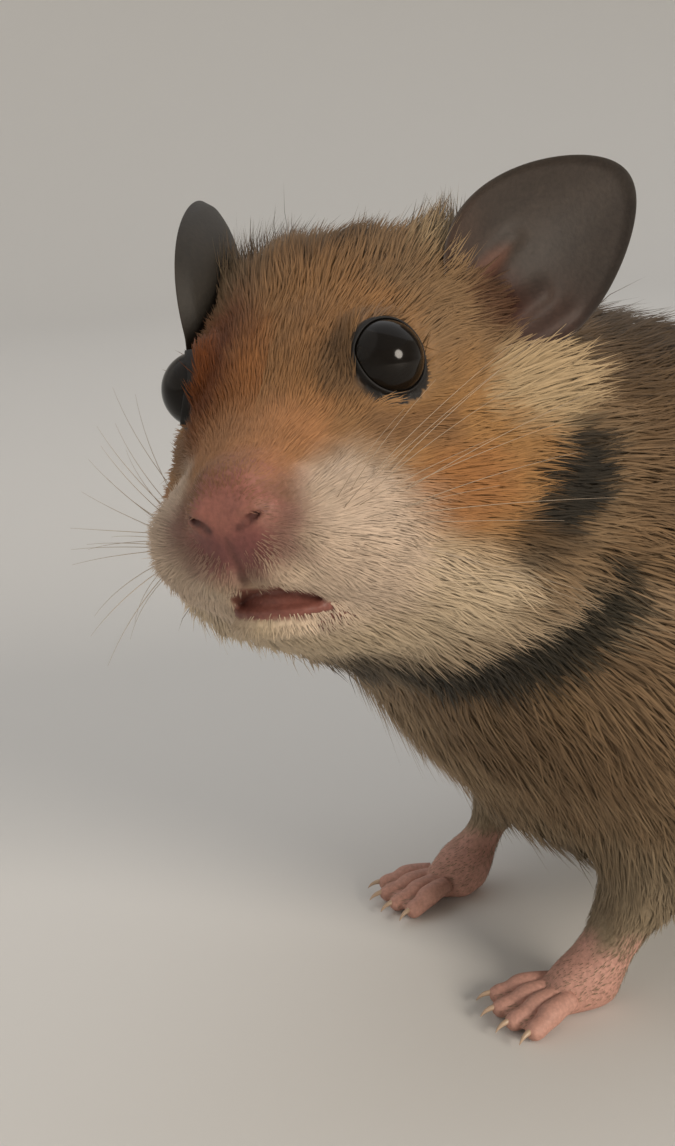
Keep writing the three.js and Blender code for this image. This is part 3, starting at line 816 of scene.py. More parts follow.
bodyLie = {
    "neckTop": ((0, -36, 76), (0, 1, -0.1), 8.5, 15, 0.32, 5.4),
    "withers": ((0, -20, 72), (0, 1, -0.05), 9, 14, 0.38, 3.6),
    "back": ((0, 10, 66), (0, 1, 0), 9.5, 13, 0.46, 2.3),
    "loin": ((0, 42, 58), (0, 0.9, -0.4), 9.5, 13, 0.46, 2.2),
    "rumpEnd": ((0, 68, 34), (0, 0.4, -0.9), 8.5, 15, 0.48, 2),
    "underTail": ((0, 64, 9), (0, 0.7, -0.4), 5, 14, 0.42, 2.4),
    "shoulder": ((22, -30, 46), (0.1, 0.9, -0.45), 8.5, 15, 0.28, 7.2),
    "shoulderLow": ((24, -26, 32), (0.05, 0.7, -0.7), 8, 14, 0.28, 6.2),
    "side": ((29, 2, 42), (0, 0.95, -0.3), 9, 11, 0.42, 2.5),
    "haunch": ((30, 34, 38), (0, 0.85, -0.5), 8.5, 10, 0.42, 2.5),
    "haunchLow": ((29, 40, 16), (0, 0.5, -0.85), 6, 10, 0.4, 2.4),
    "knee": ((31, 22, 18), (0, 0.8, -0.55), 6, 8, 0.4, 2.4),
    "flankLow": ((25, 4, 18), (-0.1, 0.95, -0.15), 8, 11, 0.42, 2.4),
    "belly": ((0, 10, 8), (0, 1, -0.02), 7, 15, 0.46, 2),
    "chestFront": ((0, -46, 38), (0, 0.3, -0.95), 7, 12, 0.28, 6.5),
    "chestSide": ((14, -42, 38), (0.15, 0.5, -0.85), 7.5, 13, 0.27, 7),
    "chestLow": ((0, -30, 19), (0, 0.75, -0.6), 7, 16, 0.38, 3),
    "upperArm": ((19, -24, 22), (0.05, 0.35, -0.95), 5, 14, 0.3, 4.6),
    "forearm": ((16, -26, 12), (0.03, 0.1, -1), 2.6, 11, 0.2, 5.5),
    "wrist": ((14, -29, 6), (0, -0.35, -0.9), 1.3, 9, 0.13, 7),
    "forePawTop": ((14, -36, 4), (0, -0.95, -0.3), 0.7, 8, 0.1, 6),
    "shin": ((24, 34, 9), (0, 0.1, -1), 3, 12, 0.24, 4.5),
    "hindPawTop": ((22.5, 26, 5), (0, -0.97, -0.2), 0.9, 8, 0.11, 5),
    "hindToes": ((22.5, 18, 3), (0, -0.97, -0.2), 0.6, 8, 0.1, 4),
    "tail": ((0, 75.5, 16), (0, 0.85, -0.5), 0.7, 6, 0.1, 5),
    "tailMiddle": ((0, 70.5, 18), (0, 0.85, -0.5), 1.1, 6, 0.11, 4),
    "tailRoot": ((0, 69.5, 25), (0, 0.6, -0.8), 3.6, 10, 0.34, 4),
}
# the tuft before the right ear stands up higher than the one before the left
rightEarLie = {"earTuft": ((-7.2, 24, 18.8), (-0.1, 0.3, 0.95), 5.0, 50, 0.11, 18)}
liePull = {"power": -2.2, "core": 1.5, "batch": 20000}


def lieTable():
    # a guide off the middle counts on both sides
    rows = [(*fromHead(place), *(headTurning @ np.array(flow)), *rest)
            for place, flow, *rest in rightEarLie.values()]
    for lie, placed, turning in ((headLie, fromHead, headTurning), (bodyLie, np.array, np.eye(3))):
        for place, flow, *rest in lie.values():
            for side in (1, -1) if place[0] else (1,):
                at = placed(np.array(place, float) * (side, 1, 1))
                rows.append((*at, *(turning @ (np.array(flow) * (side, 1, 1))), *rest))
    return np.array(rows, float)


guides = lieTable()


def lieAt(places):
    # every guide pulls by its nearness, so that the lie changes gently from one to the next
    result = np.zeros((len(places), 7))
    for first in range(0, len(places), liePull["batch"]):
        part = slice(first, first + liePull["batch"])
        away = ((places[part, None, :] - guides[None, :, :3]) ** 2).sum(-1) + liePull["core"]
        pull = away ** liePull["power"]
        result[part] = (pull / pull.sum(1, keepdims=True)) @ guides[:, 3:]
    return result


def waves(places, size, seed):
    # soft random values about 0, from a few slanting waves about size mm long
    draw = np.random.default_rng(seed)
    total = np.zeros(places.shape[:-1])
    for _ in range(9):
        way = unit(draw.normal(size=3)) * 2 * math.pi / (size * draw.uniform(0.7, 1.6))
        total += np.sin(places @ way + draw.uniform(0, 2 * math.pi))
    return total / 3


# Colours of the coat and the skin, as sRGB.
coatColours = {
    "back": "#523f28", "backDark": "#362b1d", "flank": "#6f5738", "belly": "#877760",
    "chest": "#a28a6c", "shoulder": "#725a40",
    # the deep orange is the brow's own orange, darkened by painted shade on the side of the head away from
    # the light
    "crown": "#806547", "forehead": "#987048", "orange": "#996233", "deepOrangeAndShade": "#632e02",
    # the eye's shade colour is painted shade in the hollow before the left eye
    # the under-eye colour is painted shade below the eyes
    "cheek": "#987043", "bridge": "#a97850", "underEyeShade": "#6a4b31", "eyePaintedShade": "#5b4732",
    "white": "#c8b29d", "cream": "#ae9673", "jowl": "#cab597",
    "flash": "#241f16", "band": "#2b261b", "crescent": "#7b6449",
    # the nose's shade colour is its mauve skin deepened with painted shade under and beside the nose
    # the nostrils' colour is painted shade in their shallow grooves
    "nose": "#8f5b4f", "noseMauveAndShade": "#693b39", "nostril": "#54302a",
    # the mouth's colour is its dark red inside, and serves also as painted shade in the lip gap and the
    # groove under the nose
    "mouth": "#54302a", "lip": "#80564a", "tongue": "#7a4b41", "lid": "#0f0c0a", "paw": "#b98c7d",
    "earBack": "#28231c", "earInner": "#38302a", "earRim": "#2d2924",
    # the ear hollow's colour is dark reddish skin with painted shade in the ear's hollow
    "earHollowAndShade": "#412113", "earFold": "#6b4636", "earFlush": "#402b20",
}
linearColours = {name: np.array(srgb(code)) for name, code in coatColours.items()}

# Marks on the head, each laid over the ones before it: colour, share of it (or one for the left and one
# for the right), on both halves or as placed, then middle and radii or a path and its half width, in mm
# in the head's frame, how soft the edge is and how ragged.
upperMarks = (
    ("forehead", 1, "both", (0, 12, 10), (10, 9, 12), 0.4, 1),
    ("orange", (0.15, 0.9), "both", (3.2, 8.5, 8.5), (4.5, 6, 6.5), 0.5, 1),
    # the right brow's orange, darkened by painted shade on the side turned from the light
    ("deepOrangeAndShade", 0.9, "one", (-7, 12.5, 9.5), (4.4, 8.5, 8), 0.5, 1),
    ("cheek", 1, "both", (14.2, 15.2, 0.8), (8, 10, 7.5), 0.5, 1),
    ("orange", 0.65, "both", (13.6, 11.8, -1.6), (4.2, 5.5, 3.0), 0.6, 1),
    ("bridge", 1, "both", (1.5, 5, 4.2), (5, 4.5, 3.6), 0.5, 1),
    # painted shade below each eye
    ("underEyeShade", 0.6, "both", ((8.8, 9.2, 4.2), (10.4, 10.9, 3.7), (12.4, 13.6, 3.8)), 1.5, 0.7, 2),
)
lowerMarks = (
    ("white", 0.88, "both", (7.9, 4.6, -0.5), (3.1, 4.8, 4.2), 0.5, 1),
    ("white", 0.9, "both", (7.6, 4.8, -6.0), (6.4, 7.2, 6.8), 0.5, 1),
    # dark reddish skin and painted shade where the ear's hollow meets the head
    ("earHollowAndShade", 0.75, "both", (13.7, 25.6, 12), (3.2, 3.6, 3.2), 0.6, 1),
    ("backDark", 0.5, "one", ((1, 18.5, 20), (3.5, 21, 20.5), (5, 25, 20)), 2.2, 0.6, 2),
    ("cream", 0.7, "both", (9.8, 24, 18.5), (2.2, 3, 2.6), 0.5, 1),
    ("cream", 1, "both", (17.4, 25.2, 5), (5.1, 6.2, 4.3), 0.4, 1.5),
    ("crescent", 1, "both", ((19.5, 30, -1), (20, 26, -7), (17.5, 20, -12)), 3.2, 0.4, 1),
    ("flash", 0.7, "both", ((18.6, 25, -2.4), (17.2, 17, -7.2)), 2.7, 0.5, 1.6),
    ("flash", 1, "both", ((18.8, 26.6, -1.9), (18.3, 22.6, -3.8)), 3.3, 0.4, 1.6),
    ("band", 1, "both", ((0, 17, -18), (3, 22, -20), (5, 24, -20), (12, 26, -18), (18.5, 27, -15),
                         (20.3, 28.6, -13.4)), 4.0, 0.5, 1.3),
    ("nose", 0.75, "one", (0.3, 1.2, -0.6), (4.5, 4.0, 4.4), 0.5, 1),
    ("bridge", 0.6, "both", (0, 2.2, 2.3), (2.8, 2.4, 1.7), 0.6, 1),
    # mauve with painted shade beside and under the nose
    ("noseMauveAndShade", 0.65, "both", (3.9, 1.2, -1.9), (2.5, 2.3, 2.7), 0.6, 1),
    ("noseMauveAndShade", 0.55, "both", (0.9, 0.8, -4.4), (1.7, 2.2, 1.9), 0.6, 1),
    # painted shade in the hollow in front of the left eye
    ("eyePaintedShade", 0.8, "one", (6.4, 10.2, 9.4), (2.4, 2.9, 3.1), 0.5, 1),
)


def blob(places, middle, radii, soft=0.35, ragged=0.0):
    size = np.linalg.norm((places - middle) / radii, axis=-1) + ragged
    return 1 - ramp(size, 1 - soft, 1 + soft)


def strip(places, path, width, soft=0.4, ragged=0.0):
    # a band that follows the path, about width mm to either side
    nearest = np.min([alongSegment(places, start, end)[1] for start, end in zip(path, path[1:])], axis=0)
    return 1 - ramp(nearest / width + ragged, 1 - soft, 1 + soft)


def tint(colour, name, amount):
    colour += amount[:, None] * (linearColours[name] - colour)


def layMarks(colour, head, marks, wobble):
    for name, share, reach, place, size, soft, ragged in marks:
        shape = blob if isinstance(size, tuple) else strip
        amount = shape(mirrored(head) if reach == "both" else head, place, size, soft, ragged * wobble)
        left, right = share if isinstance(share, tuple) else (share, share)
        tint(colour, name, amount * np.where(head[:, 0] < 0, right, left))


def markings(row, normals):
    # the same for the skin and for every tuft, from its place and the way its skin faces
    head = toHead(row)
    y, z, below = row[:, 1], row[:, 2], -head[:, 2]
    fine, broad = waves(row, 2.2, 11), waves(row, 9, 12)
    wobble = 0.07 * fine + 0.08 * broad
    colour = np.tile(linearColours["back"], (len(row), 1))
    tint(colour, "backDark", 0.45 * ramp(normals[:, 2] + 0.2 * broad, 0.3, 1.0))
    tint(colour, "flank", ramp(-normals[:, 2] + 0.15 * broad, -0.35, 0.25))
    tint(colour, "belly", ramp(28 - z + 3 * broad - 12 * np.clip(normals[:, 2], 0, 1), 0, 14))
    chest = ramp(-y - 22 + 2 * broad, 0, 12) * ramp(56 - z, 0, 12) * ramp(below, 8, 16)
    tint(colour, "chest", 0.9 * chest * ramp(z + 2 * fine, 12, 26))
    tint(colour, "shoulder", 0.85 * blob(row, (22, -34, 42), (20, 22, 20), 0.4, wobble))
    # darker and paler clumps
    tint(colour, "backDark", 0.45 * ramp(waves(row, 7, 13) + 0.5 * fine, 0.1, 1.3) * ramp(z, 26, 44))
    tint(colour, "flank", 0.35 * ramp(waves(row, 6, 14) + 0.4 * fine, 0.4, 1.5) * ramp(z, 20, 34))
    onHead = 1 - ramp(head[:, 1] + 0.25 * head[:, 2] + 3 * wobble, 26, 34)
    onHead *= 1 - ramp(0.5 * (head[:, 1] - 20) + below + 2 * wobble, 20, 25)
    tint(colour, "crown", onHead)
    layMarks(colour, head, upperMarks, wobble)
    jowl = ramp(below - 0.4 * (head[:, 1] - 8) + 2 * wobble, 2.4, 6.8) * onHead
    tint(colour, "jowl", jowl * (1 - 0.4 * ramp(head[:, 1], 15, 23)))
    layMarks(colour, head, lowerMarks, wobble)
    return colour


def eyeFacing(head):
    # the cosine of how far round the eyeball a place is from the eye's axis
    away = mirrored(head) - headPose["eye"]
    return away @ eyeAxis / np.maximum(np.linalg.norm(away, axis=-1), 1e-6)


def facingRamp(head, start, end):
    # from degrees behind the eye's axis, where it is 0, to degrees nearer to it, where it is 1
    return ramp(eyeFacing(head), math.cos(math.radians(start)), math.cos(math.radians(end)))


def lowerLip(head):
    return ramp(-levelLips(head)[:, 2], *muzzle["lowerHalf"])


def paintEar(colour, wet, row, name):
    ear = toEar(row, name)
    x, y = onOutline(ear)
    x = x / (1 - earShape["taper"] * np.clip(y, -1.2, 1.2))
    rim, height = x * x + y * y, ear[:, 2] - earSheet(x, y)
    onEar = (np.abs(height) < 1.3) & (rim < 1.15)
    inner = ramp(height, -0.1, 0.1)
    grain = 0.05 * waves(row, 1.2, 33) + 0.07 * waves(row, 4, 34)
    flat = np.stack([x, y, 0 * x], -1)
    shade = np.tile(linearColours["earBack"], (len(row), 1))
    tint(shade, "earInner", inner)
    tint(shade, "earFlush", inner * 0.75 * ramp(-y, 0.0, 0.9))
    # the ear's hollow: dark reddish skin with painted shade in the dip at its root
    tint(shade, "earHollowAndShade", inner * blob(flat, (0.14, -0.66, 0), (0.34, 0.34, 1), 0.6, grain))
    tint(shade, "earFold", inner * 0.6 * blob(flat, (-0.2, -0.42, 0), (0.1, 0.22, 1), 0.7, grain))
    # more painted shade over one half of the lower cup
    tint(shade, "earHollowAndShade", inner * 0.5 * ramp(x, 0.0, 0.9) * ramp(-y, -0.4, 0.4))
    tint(shade, "earRim", inner * 0.6 * ramp(rim, 0.88, 1.0))
    colour[onEar] = (shade * (1 + grain)[:, None])[onEar]
    wet[onEar] = 0.15


def carryColour(mesh, colour):
    paint = mesh.attributes.new("coatColour", "FLOAT_COLOR", "POINT")
    clipped = np.c_[np.clip(colour, 0, 1), np.ones(len(colour))]
    paint.data.foreach_set("color", clipped.astype(np.float32).ravel())


def paintSkin(mesh):
    row = cornersOf(mesh)
    normals = np.zeros(row.size)
    mesh.vertex_normals.foreach_get("vector", normals)
    head = toHead(row)
    # painted shade: the skin under the coat is painted a little darker, as the coat over it shades it
    colour = markings(row, normals.reshape(-1, 3)) * 0.94  # a little darker than the coat over it
    wet = np.zeros(len(row))

    def lay(name, amount, moist):
        tint(colour, name, amount)
        wet[:] = wet + amount * (moist - wet)

    lay("paw", 1 - ramp(row[:, 2] + 0.5 * waves(row, 3, 31), 5.5, 8.5), 0.2)
    lay("paw", 1 - ramp(np.linalg.norm(row - (0, 76, 15.5), axis=-1), 6.5, 9), 0.2)  # the tail's tip
    lay("nose", blob(head, (0, 0.8, -0.3), (3.9, 3.4, 4.0), 0.35, 0.1 * waves(row, 1.5, 32)), 0.5)
    # mauve with painted shade under the nose pad
    lay("noseMauveAndShade", 0.85 * blob(mirrored(head), (1.6, 0.4, -2.9), (2.3, 2.4, 2.0), 0.5), 0.4)
    # painted shade: the groove under the nose is painted in the mouth's dark red
    lay("mouth", 0.8 * strip(head, [place for place, _ in muzzle["philtrum"]], 0.42, 0.3), 0.5)
    lay("lip", 1 - ramp(mouthSpace(head) - 0.5 * lowerLip(head), 0.1, 0.35), 0.6)
    # the gap between the lips: the mouth's own dark red with painted shade of its opening
    lay("mouth", 1 - ramp(mouthSpace(head), -0.15, 0.15), 0.7)
    inside = np.minimum(mouthSpace(head, "gums"), ellipsoid(head, *muzzle["tongue"]))
    lay("tongue", 1 - ramp(inside, 0.05, 0.3), 0.5)
    # painted shade: the shallow nostril grooves are painted dark red-brown for the shade inside the nostrils
    lay("nostril", strip(mirrored(head), [place for place, _ in muzzle["nostril"]], 0.36, 0.35), 0.5)
    lay("lid", (eyeDistance(head) < 4) * facingRamp(head, 86, 76), 0.1)
    for name, _ in sides:
        paintEar(colour, wet, row, name)
    carryColour(mesh, colour)
    mesh.attributes.new("moist", "FLOAT", "POINT").data.foreach_set("value", wet.astype(np.float32))


def paintedLook(name, values, grainsPerMm, detail, spread):
    # the colour that the mesh carries, made lighter and darker by a fine grain
    material, shader = newMaterial(name, values)
    tree = material.node_tree
    paint = addNode(tree, "ShaderNodeAttribute", {"attribute_name": "coatColour"})
    place = addNode(tree, "ShaderNodeTexCoord")
    grain = addNode(tree, "ShaderNodeTexNoise", inputs={"Scale": grainsPerMm / mm, "Detail": detail},
                    links={"Vector": place.outputs["Object"]})
    light = addNode(tree, "ShaderNodeMapRange", links={"Value": grain.outputs["Fac"]},
                    inputs={"From Min": 0.3, "From Max": 0.7, "To Min": spread[0], "To Max": spread[1]})
    mixed = addNode(tree, "ShaderNodeVectorMath", {"operation": "SCALE"},
                    links={"Vector": paint.outputs["Color"], "Scale": light.outputs["Result"]})
    tree.links.new(mixed.outputs["Vector"], shader.inputs["Base Color"])
    return material, shader, grain


def furLook():
    # guard hair and underfur: dull, with a faint sheen at grazing angles, and streaks about 1 mm long,
    # drawn coarser than the scales of a real hair, which are far too fine to see
    dull = {"Roughness": 0.62, "Specular IOR Level": 0.22, "Sheen Weight": 0.05, "Sheen Roughness": 0.5}
    return paintedLook("hamsterFur", dull, 0.9, 2.0, (0.92, 1.08))[0]


def skinLook():
    # bare skin: pores 0.4 mm apart that break up the light, and a moist shine on nose, lips and lids
    material, shader, grain = paintedLook("hamsterSkin", {"Specular IOR Level": 0.4}, 2.6, 3.0, (0.85, 1.13))
    tree = material.node_tree
    moist = addNode(tree, "ShaderNodeAttribute", {"attribute_name": "moist"})
    rough = addNode(tree, "ShaderNodeMapRange", inputs={"To Min": 0.7, "To Max": 0.3},
                    links={"Value": moist.outputs["Fac"]})
    tree.links.new(rough.outputs["Result"], shader.inputs["Roughness"])
    pores = addNode(tree, "ShaderNodeBump", inputs={"Strength": 0.35, "Distance": 0.1 * mm},
                    links={"Height": grain.outputs["Fac"]})
    tree.links.new(pores.outputs["Normal"], shader.inputs["Normal"])
    return material


paintSkin(skin.data)
skin.data.materials.clear()
skin.data.materials.append(skinLook())
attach(skin, "root")
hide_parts(*fleshNodes, "ear_left", "ear_right")
print("skin painted")


def makeEyeball(name, side, look):
    ball = bmesh.new()
    bmesh.ops.create_uvsphere(ball, u_segments=64, v_segments=40, radius=eyeShape["radius"] * mm)
    bmesh.ops.translate(ball, verts=ball.verts, vec=Vector(fromHead(eyeCentre(side)) * mm))
    mesh = bpy.data.meshes.new("eyeball_" + name)
    ball.to_mesh(mesh)
    ball.free()
    mesh.shade_smooth()
    mesh.materials.append(look)
    eye = linked("eyeball_" + name, mesh)
    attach(eye, "root")
    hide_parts("eye_" + name)


# wet cornea over a dark brown iris: nearly black, with one small sharp reflection
wetEye, _ = newMaterial("wetEye", {
    "Base Color": (*srgb("#120e0a"), 1), "Roughness": 0.11, "Specular IOR Level": 0.2})
for name, side in sides:
    makeEyeball(name, side, wetEye)
print("eyeballs made")


coatGrowth = {
    "rings": (0, 0.48, 1), "seed": 5, "sunk": 0.12, "thickness": 0.28,
    "swirl": 0.17, "stray": 0.07, "lengthSpread": 0.2, "riseSpread": 0.3, "widthSpread": 0.2, "bend": 0.05,
    "roof": 0.18,  # how far a tuft's edges are shaded as if they turned down
    "patch": 0.003, "lowest": 0.15,
    # a few guard hairs stand further out than the rest
    "guardShare": 0.03, "guardLength": 1.22, "guardRise": 1.4, "guardWidth": 0.45, "guardFrom": 2,
    "eyeGap": 3.5, "eyeShares": (0.4, 0.7, 1.0),  # what keeps off the eyeballs, from their middles
    # a tuft whose tip comes this far over an ear's outline, between these heights, loses some length
    "earReach": (0.5, 1.05), "earGap": 0.3, "earFront": 12, "earLeft": (0.2, 0.95),
}
# Where the coat is divided into pieces, in mm: behind the nose for the head, and in the row's frame
# for the rest.
coatSplit = {
    "headBack": 33, "headReach": 34, "faceBack": 13, "shoulderBack": -14, "rumpFrom": 28,
    "chestBack": -30, "chestTop": 50, "chestSides": (-16, 20),
    "legTop": 13, "foreLeg": 7, "hindLeg": 14, "hindSpan": (8, 56),
}
# What the skin is unwrapped round: the head's middle, the trunk's axis and the middle of each leg.
unwrapRound = {
    "head": (0, 20, 0), "trunk": 34, "hindFrom": -6, "fore": (14.5, -29.0), "hind": (23.0, 32.0),
}


# Where the coat stops, in mm, and over what width: lid facings are degrees from the eye's axis.
coatEdges = {
    "nosePad": ((0, 0, -0.9), (3.2, 2.0, 2.4), 0.15), "philtrum": (0.7, 0.2),
    "lip": (0.08, 0.25), "lowerLip": 0.35,
    "lidReach": 4.2, "lidFacing": (78, 74), "eyeball": (3.34, 3.38), "sole": (0.9, 1.8),
}


def bareSkin(row):
    # 0 where no hair grows: nose pad, lips, inside the mouth, lids and soles
    values = coatEdges
    head = toHead(row)
    hair = 1 - blob(head, *values["nosePad"])
    hair *= ramp(mouthSpace(head) - values["lowerLip"] * lowerLip(head), *values["lip"])
    hair *= 1 - strip(head, [place for place, _ in muzzle["philtrum"]], *values["philtrum"])
    hair *= 1 - (eyeDistance(head) < values["lidReach"]) * facingRamp(head, *values["lidFacing"])
    hair *= ramp(eyeDistance(head), *values["eyeball"])
    return hair * ramp(row[:, 2], *values["sole"])


def scatterRoots(points, quads, normals, areas):
    draw = np.random.default_rng(coatGrowth["seed"])
    centres = points[quads].mean(1)
    running = np.cumsum(areas * lieAt(centres)[:, 6] * bareSkin(centres))
    count = int(running[-1])
    picks = np.searchsorted(running, (np.arange(count) + draw.uniform(size=count)) / count * running[-1])
    chosen = quads[np.minimum(picks, len(quads) - 1)]
    u, v = draw.uniform(size=(2, count, 1))
    weights = ((1 - u) * (1 - v), u * (1 - v), u * v, (1 - u) * v)
    roots = sum(w * points[chosen[:, k]] for k, w in enumerate(weights))
    up = unit(sum(w * normals[chosen[:, k]] for k, w in enumerate(weights)))
    return roots, up


def growTufts(roots, up):
    values = coatGrowth
    draw = np.random.default_rng(values["seed"] + 1)
    count = len(roots)

    def spread():
        return draw.normal(size=count).clip(-2, 2)

    lie = lieAt(roots)
    length, rise, width = lie[:, 3], np.radians(lie[:, 4]), lie[:, 5]
    straight = unit(lie[:, :3] - (lie[:, :3] * up).sum(-1, keepdims=True) * up)
    beside = np.cross(up, straight)
    angle = values["swirl"] * waves(roots, 3.2, 21) + 0.6 * values["swirl"] * waves(roots, 9, 22)
    angle = (angle + values["stray"] * draw.normal(size=count))[:, None]
    flow = straight * np.cos(angle) + beside * np.sin(angle)
    across = beside * np.cos(angle) - straight * np.sin(angle)
    length = length * (1 + values["lengthSpread"] * spread() + 0.1 * waves(roots, 5, 23))
    rise = rise * (1 + values["riseSpread"] * spread())
    width = width * (1 + values["widthSpread"] * spread())
    bend = spread() * values["bend"]
    guard = (draw.uniform(size=count) < values["guardShare"]) & (length > values["guardFrom"])
    length = length * np.where(guard, values["guardLength"], 1)
    rise = rise * np.where(guard, values["guardRise"], 1)
    width = width * np.where(guard, values["guardWidth"], 1)
    for name, _ in sides:
        # hair in front of an ear stops short of its cup
        reach = (flow * np.cos(rise)[:, None] + up * np.sin(rise)[:, None]) * length[:, None]
        tip = toEar(roots + reach, name)
        x, y = onOutline(tip)
        over = x * x + y * y < draw.uniform(*values["earReach"], count)
        over &= (tip[:, 2] > earSheet(x, y) - values["earGap"]) & (tip[:, 2] < values["earFront"])
        length = np.where(over, length * draw.uniform(*values["earLeft"], count), length)
    return {"root": roots, "up": up, "flow": flow, "across": across, "length": length, "rise": rise,
            "width": width, "bend": bend, "shade": spread(), "dark": draw.uniform(size=count)}


def chosenTufts(tufts, chosen):
    return {key: value[chosen] for key, value in tufts.items()}


def clearOfEyes(tufts, share):
    # whether the part of every tuft that lies at this share of its length keeps off the eyeball
    reach = (tufts["length"] * share)[:, None]
    along = tufts["flow"] * reach * np.cos(tufts["rise"])[:, None]
    high = tufts["up"] * reach * np.sin(tufts["rise"])[:, None] * 0.95
    return eyeDistance(toHead(tufts["root"] + along + high)) > coatGrowth["eyeGap"]


def tuftShape(tufts):
    # three corners for each ring along the middle line, and one tip
    values = coatGrowth
    up, across = tufts["up"], tufts["across"]
    length, rise, bend, width = (tufts[key][:, None] for key in ("length", "rise", "bend", "width"))
    corners, normals = [], []
    for t in values["rings"]:
        high = length * (np.sin(rise) * (1.45 * t - 0.55 * t * t)) - values["sunk"] * (1 - t)
        centre = (tufts["root"] + tufts["flow"] * length * np.cos(rise) * t + up * high
                  + across * length * bend * t * t)
        if t == 1:
            corners.append(centre)
            normals.append(up * 0.8 + tufts["flow"] * 0.2)
            continue
        half = width * 0.5 * (1 - t ** 1.6 * 0.75) * (0.75 + 0.25 * min(1, t * 4))
        ridge = up * half * 2 * values["thickness"]
        corners += [centre - across * half, centre + ridge, centre + across * half]
        normals += [up - across * values["roof"], up, up + across * values["roof"]]
    return np.stack(corners, 1), unit(np.stack(normals, 1))


def tuftFaces():
    # bottom, sides between the two rings, and the point
    faces = [(0, 1, 2)]
    for j in range(3):
        k = (j + 1) % 3
        faces += [(j, 3 + j, 3 + k), (j, 3 + k, k), (3 + j, 6, 3 + k)]
    return np.array(faces)


def unwrapHead(roots):
    # flat disc round the nose, as deep as the way back over the head
    head = toHead(roots) - unwrapRound["head"]
    back = np.arccos(np.clip(-head[:, 1] / np.linalg.norm(head, axis=-1), -1, 1))
    around = np.arctan2(head[:, 2], head[:, 0])
    return np.stack([back * np.cos(around), back * np.sin(around)], -1)


def unwrapBody(roots):
    # a tube round the trunk, cut open along the belly
    height = unwrapRound["trunk"]
    return np.stack([np.arctan2(roots[:, 0], roots[:, 2] - height), roots[:, 1] / height], -1)


def unwrapLegs(roots):
    # a strip for each leg, round it and up it
    values = unwrapRound
    hind, left = roots[:, 1] > values["hindFrom"], roots[:, 0] > 0
    middle = np.where(hind[:, None], values["hind"], values["fore"])
    angle = np.arctan2(roots[:, 1] - middle[:, 1], roots[:, 0] - middle[:, 0] * np.where(left, 1, -1))
    return np.stack([(2 * hind + left) * 7 + angle, roots[:, 2] / 3], -1)


def coatPiece(name, tufts, unwrap):
    spot = unwrap(tufts["root"])
    spot = (spot - spot.min(0)) / np.maximum(np.ptp(spot, axis=0), 1e-6) * 0.985 + 0.005
    places, normals = tuftShape(tufts)
    count, size = places.shape[:2]
    along = np.repeat(coatGrowth["rings"], (3, 3, 1))
    # the underfur darkens the roots, together with painted shade deep in the coat, and some tips of the
    # body's hairs are dark
    ticked = ramp(toHead(tufts["root"])[:, 1], 12, 26)[:, None] * (tufts["dark"] < 0.3)[:, None]
    light = (1 + 0.06 * tufts["shade"][:, None]) * (0.92 + 0.1 * along) * (1 - 0.22 * ticked * along**2)
    base = markings(tufts["root"] + tufts["flow"] * (tufts["length"] * 0.55)[:, None], tufts["up"])
    one = tuftFaces()
    faces = (one[None] + (np.arange(count) * size)[:, None, None]).reshape(-1, 3)
    places = places.reshape(-1, 3)
    places[:, 2] = np.maximum(places[:, 2], coatGrowth["lowest"])
    piece = newMesh(name, places, faces)
    carryColour(piece.data, (base[:, None, :] * light[..., None]).reshape(-1, 3))
    # each tuft is laid out flat, point upwards, at its root's place on the unwrapped skin
    patch = np.array([(-0.5, 0), (0, -0.15), (0.5, 0), (-0.5, 0.5), (0, 0.35), (0.5, 0.5), (0.1, 1)])
    flat = (spot[:, None, None, :] + (patch * coatGrowth["patch"])[one][None]).reshape(-1, 2)
    piece.data.uv_layers.new(name="OFBake").data.foreach_set("uv", flat.astype(np.float32).ravel())
    piece.data.normals_split_custom_set_from_vertices(normals.reshape(-1, 3))
    return piece


def coatZones(roots):
    values = coatSplit
    head = toHead(roots)
    x, y, z = roots.T
    isHead = head[:, 1] + 0.35 * head[:, 2] < values["headBack"]
    isHead &= np.linalg.norm(head - (0, 18, 0), axis=-1) < values["headReach"]
    face = isHead & (head[:, 1] < values["faceBack"])
    foreLegs = (y < values["shoulderBack"]) & (np.abs(x) > values["foreLeg"])
    hindStart, hindEnd = values["hindSpan"]
    hindLegs = (y > hindStart) & (y < hindEnd) & (np.abs(x) > values["hindLeg"])
    legs = ~isHead & (z < values["legTop"]) & (foreLegs | hindLegs)
    trunk = ~isHead & ~legs
    right, left = values["chestSides"]
    chest = (y < values["chestBack"]) & (z < values["chestTop"]) & (x > right) & (x < left)
    front, rump = y < values["shoulderBack"], y >= values["rumpFrom"]
    return {
        "coat_face": (face, head[:, 0] > 0, unwrapHead),
        "coat_cheek": (isHead & ~face, head[:, 0] > 0, unwrapHead),
        "coat_chest": (trunk & chest, None, unwrapBody),
        "coat_shoulder": (trunk & ~chest & front, x > 0, unwrapBody),
        "coat_flank": (trunk & ~front & ~rump, x > 0, unwrapBody),
        "coat_rump": (trunk & rump, x > 0, unwrapBody),
        "coat_legs": (legs, None, unwrapLegs),
    }


def makeCoat():
    fur = furLook()
    tufts = growTufts(*scatterRoots(points, quads, skinNormals, quadAreas))
    clear = np.all([clearOfEyes(tufts, share) for share in coatGrowth["eyeShares"]], axis=0)
    tufts = chosenTufts(tufts, clear)
    for zone, (inside, isLeft, unwrap) in coatZones(tufts["root"]).items():
        halfNames = {zone: inside} if isLeft is None else {
            zone + "_left": inside & isLeft, zone + "_right": inside & ~isLeft}
        for name, chosen in halfNames.items():
            piece = coatPiece(name, chosenTufts(tufts, chosen), unwrap)
            piece.data.materials.append(fur)
            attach(piece, "root")
            print(name, len(piece.data.polygons))


makeCoat()


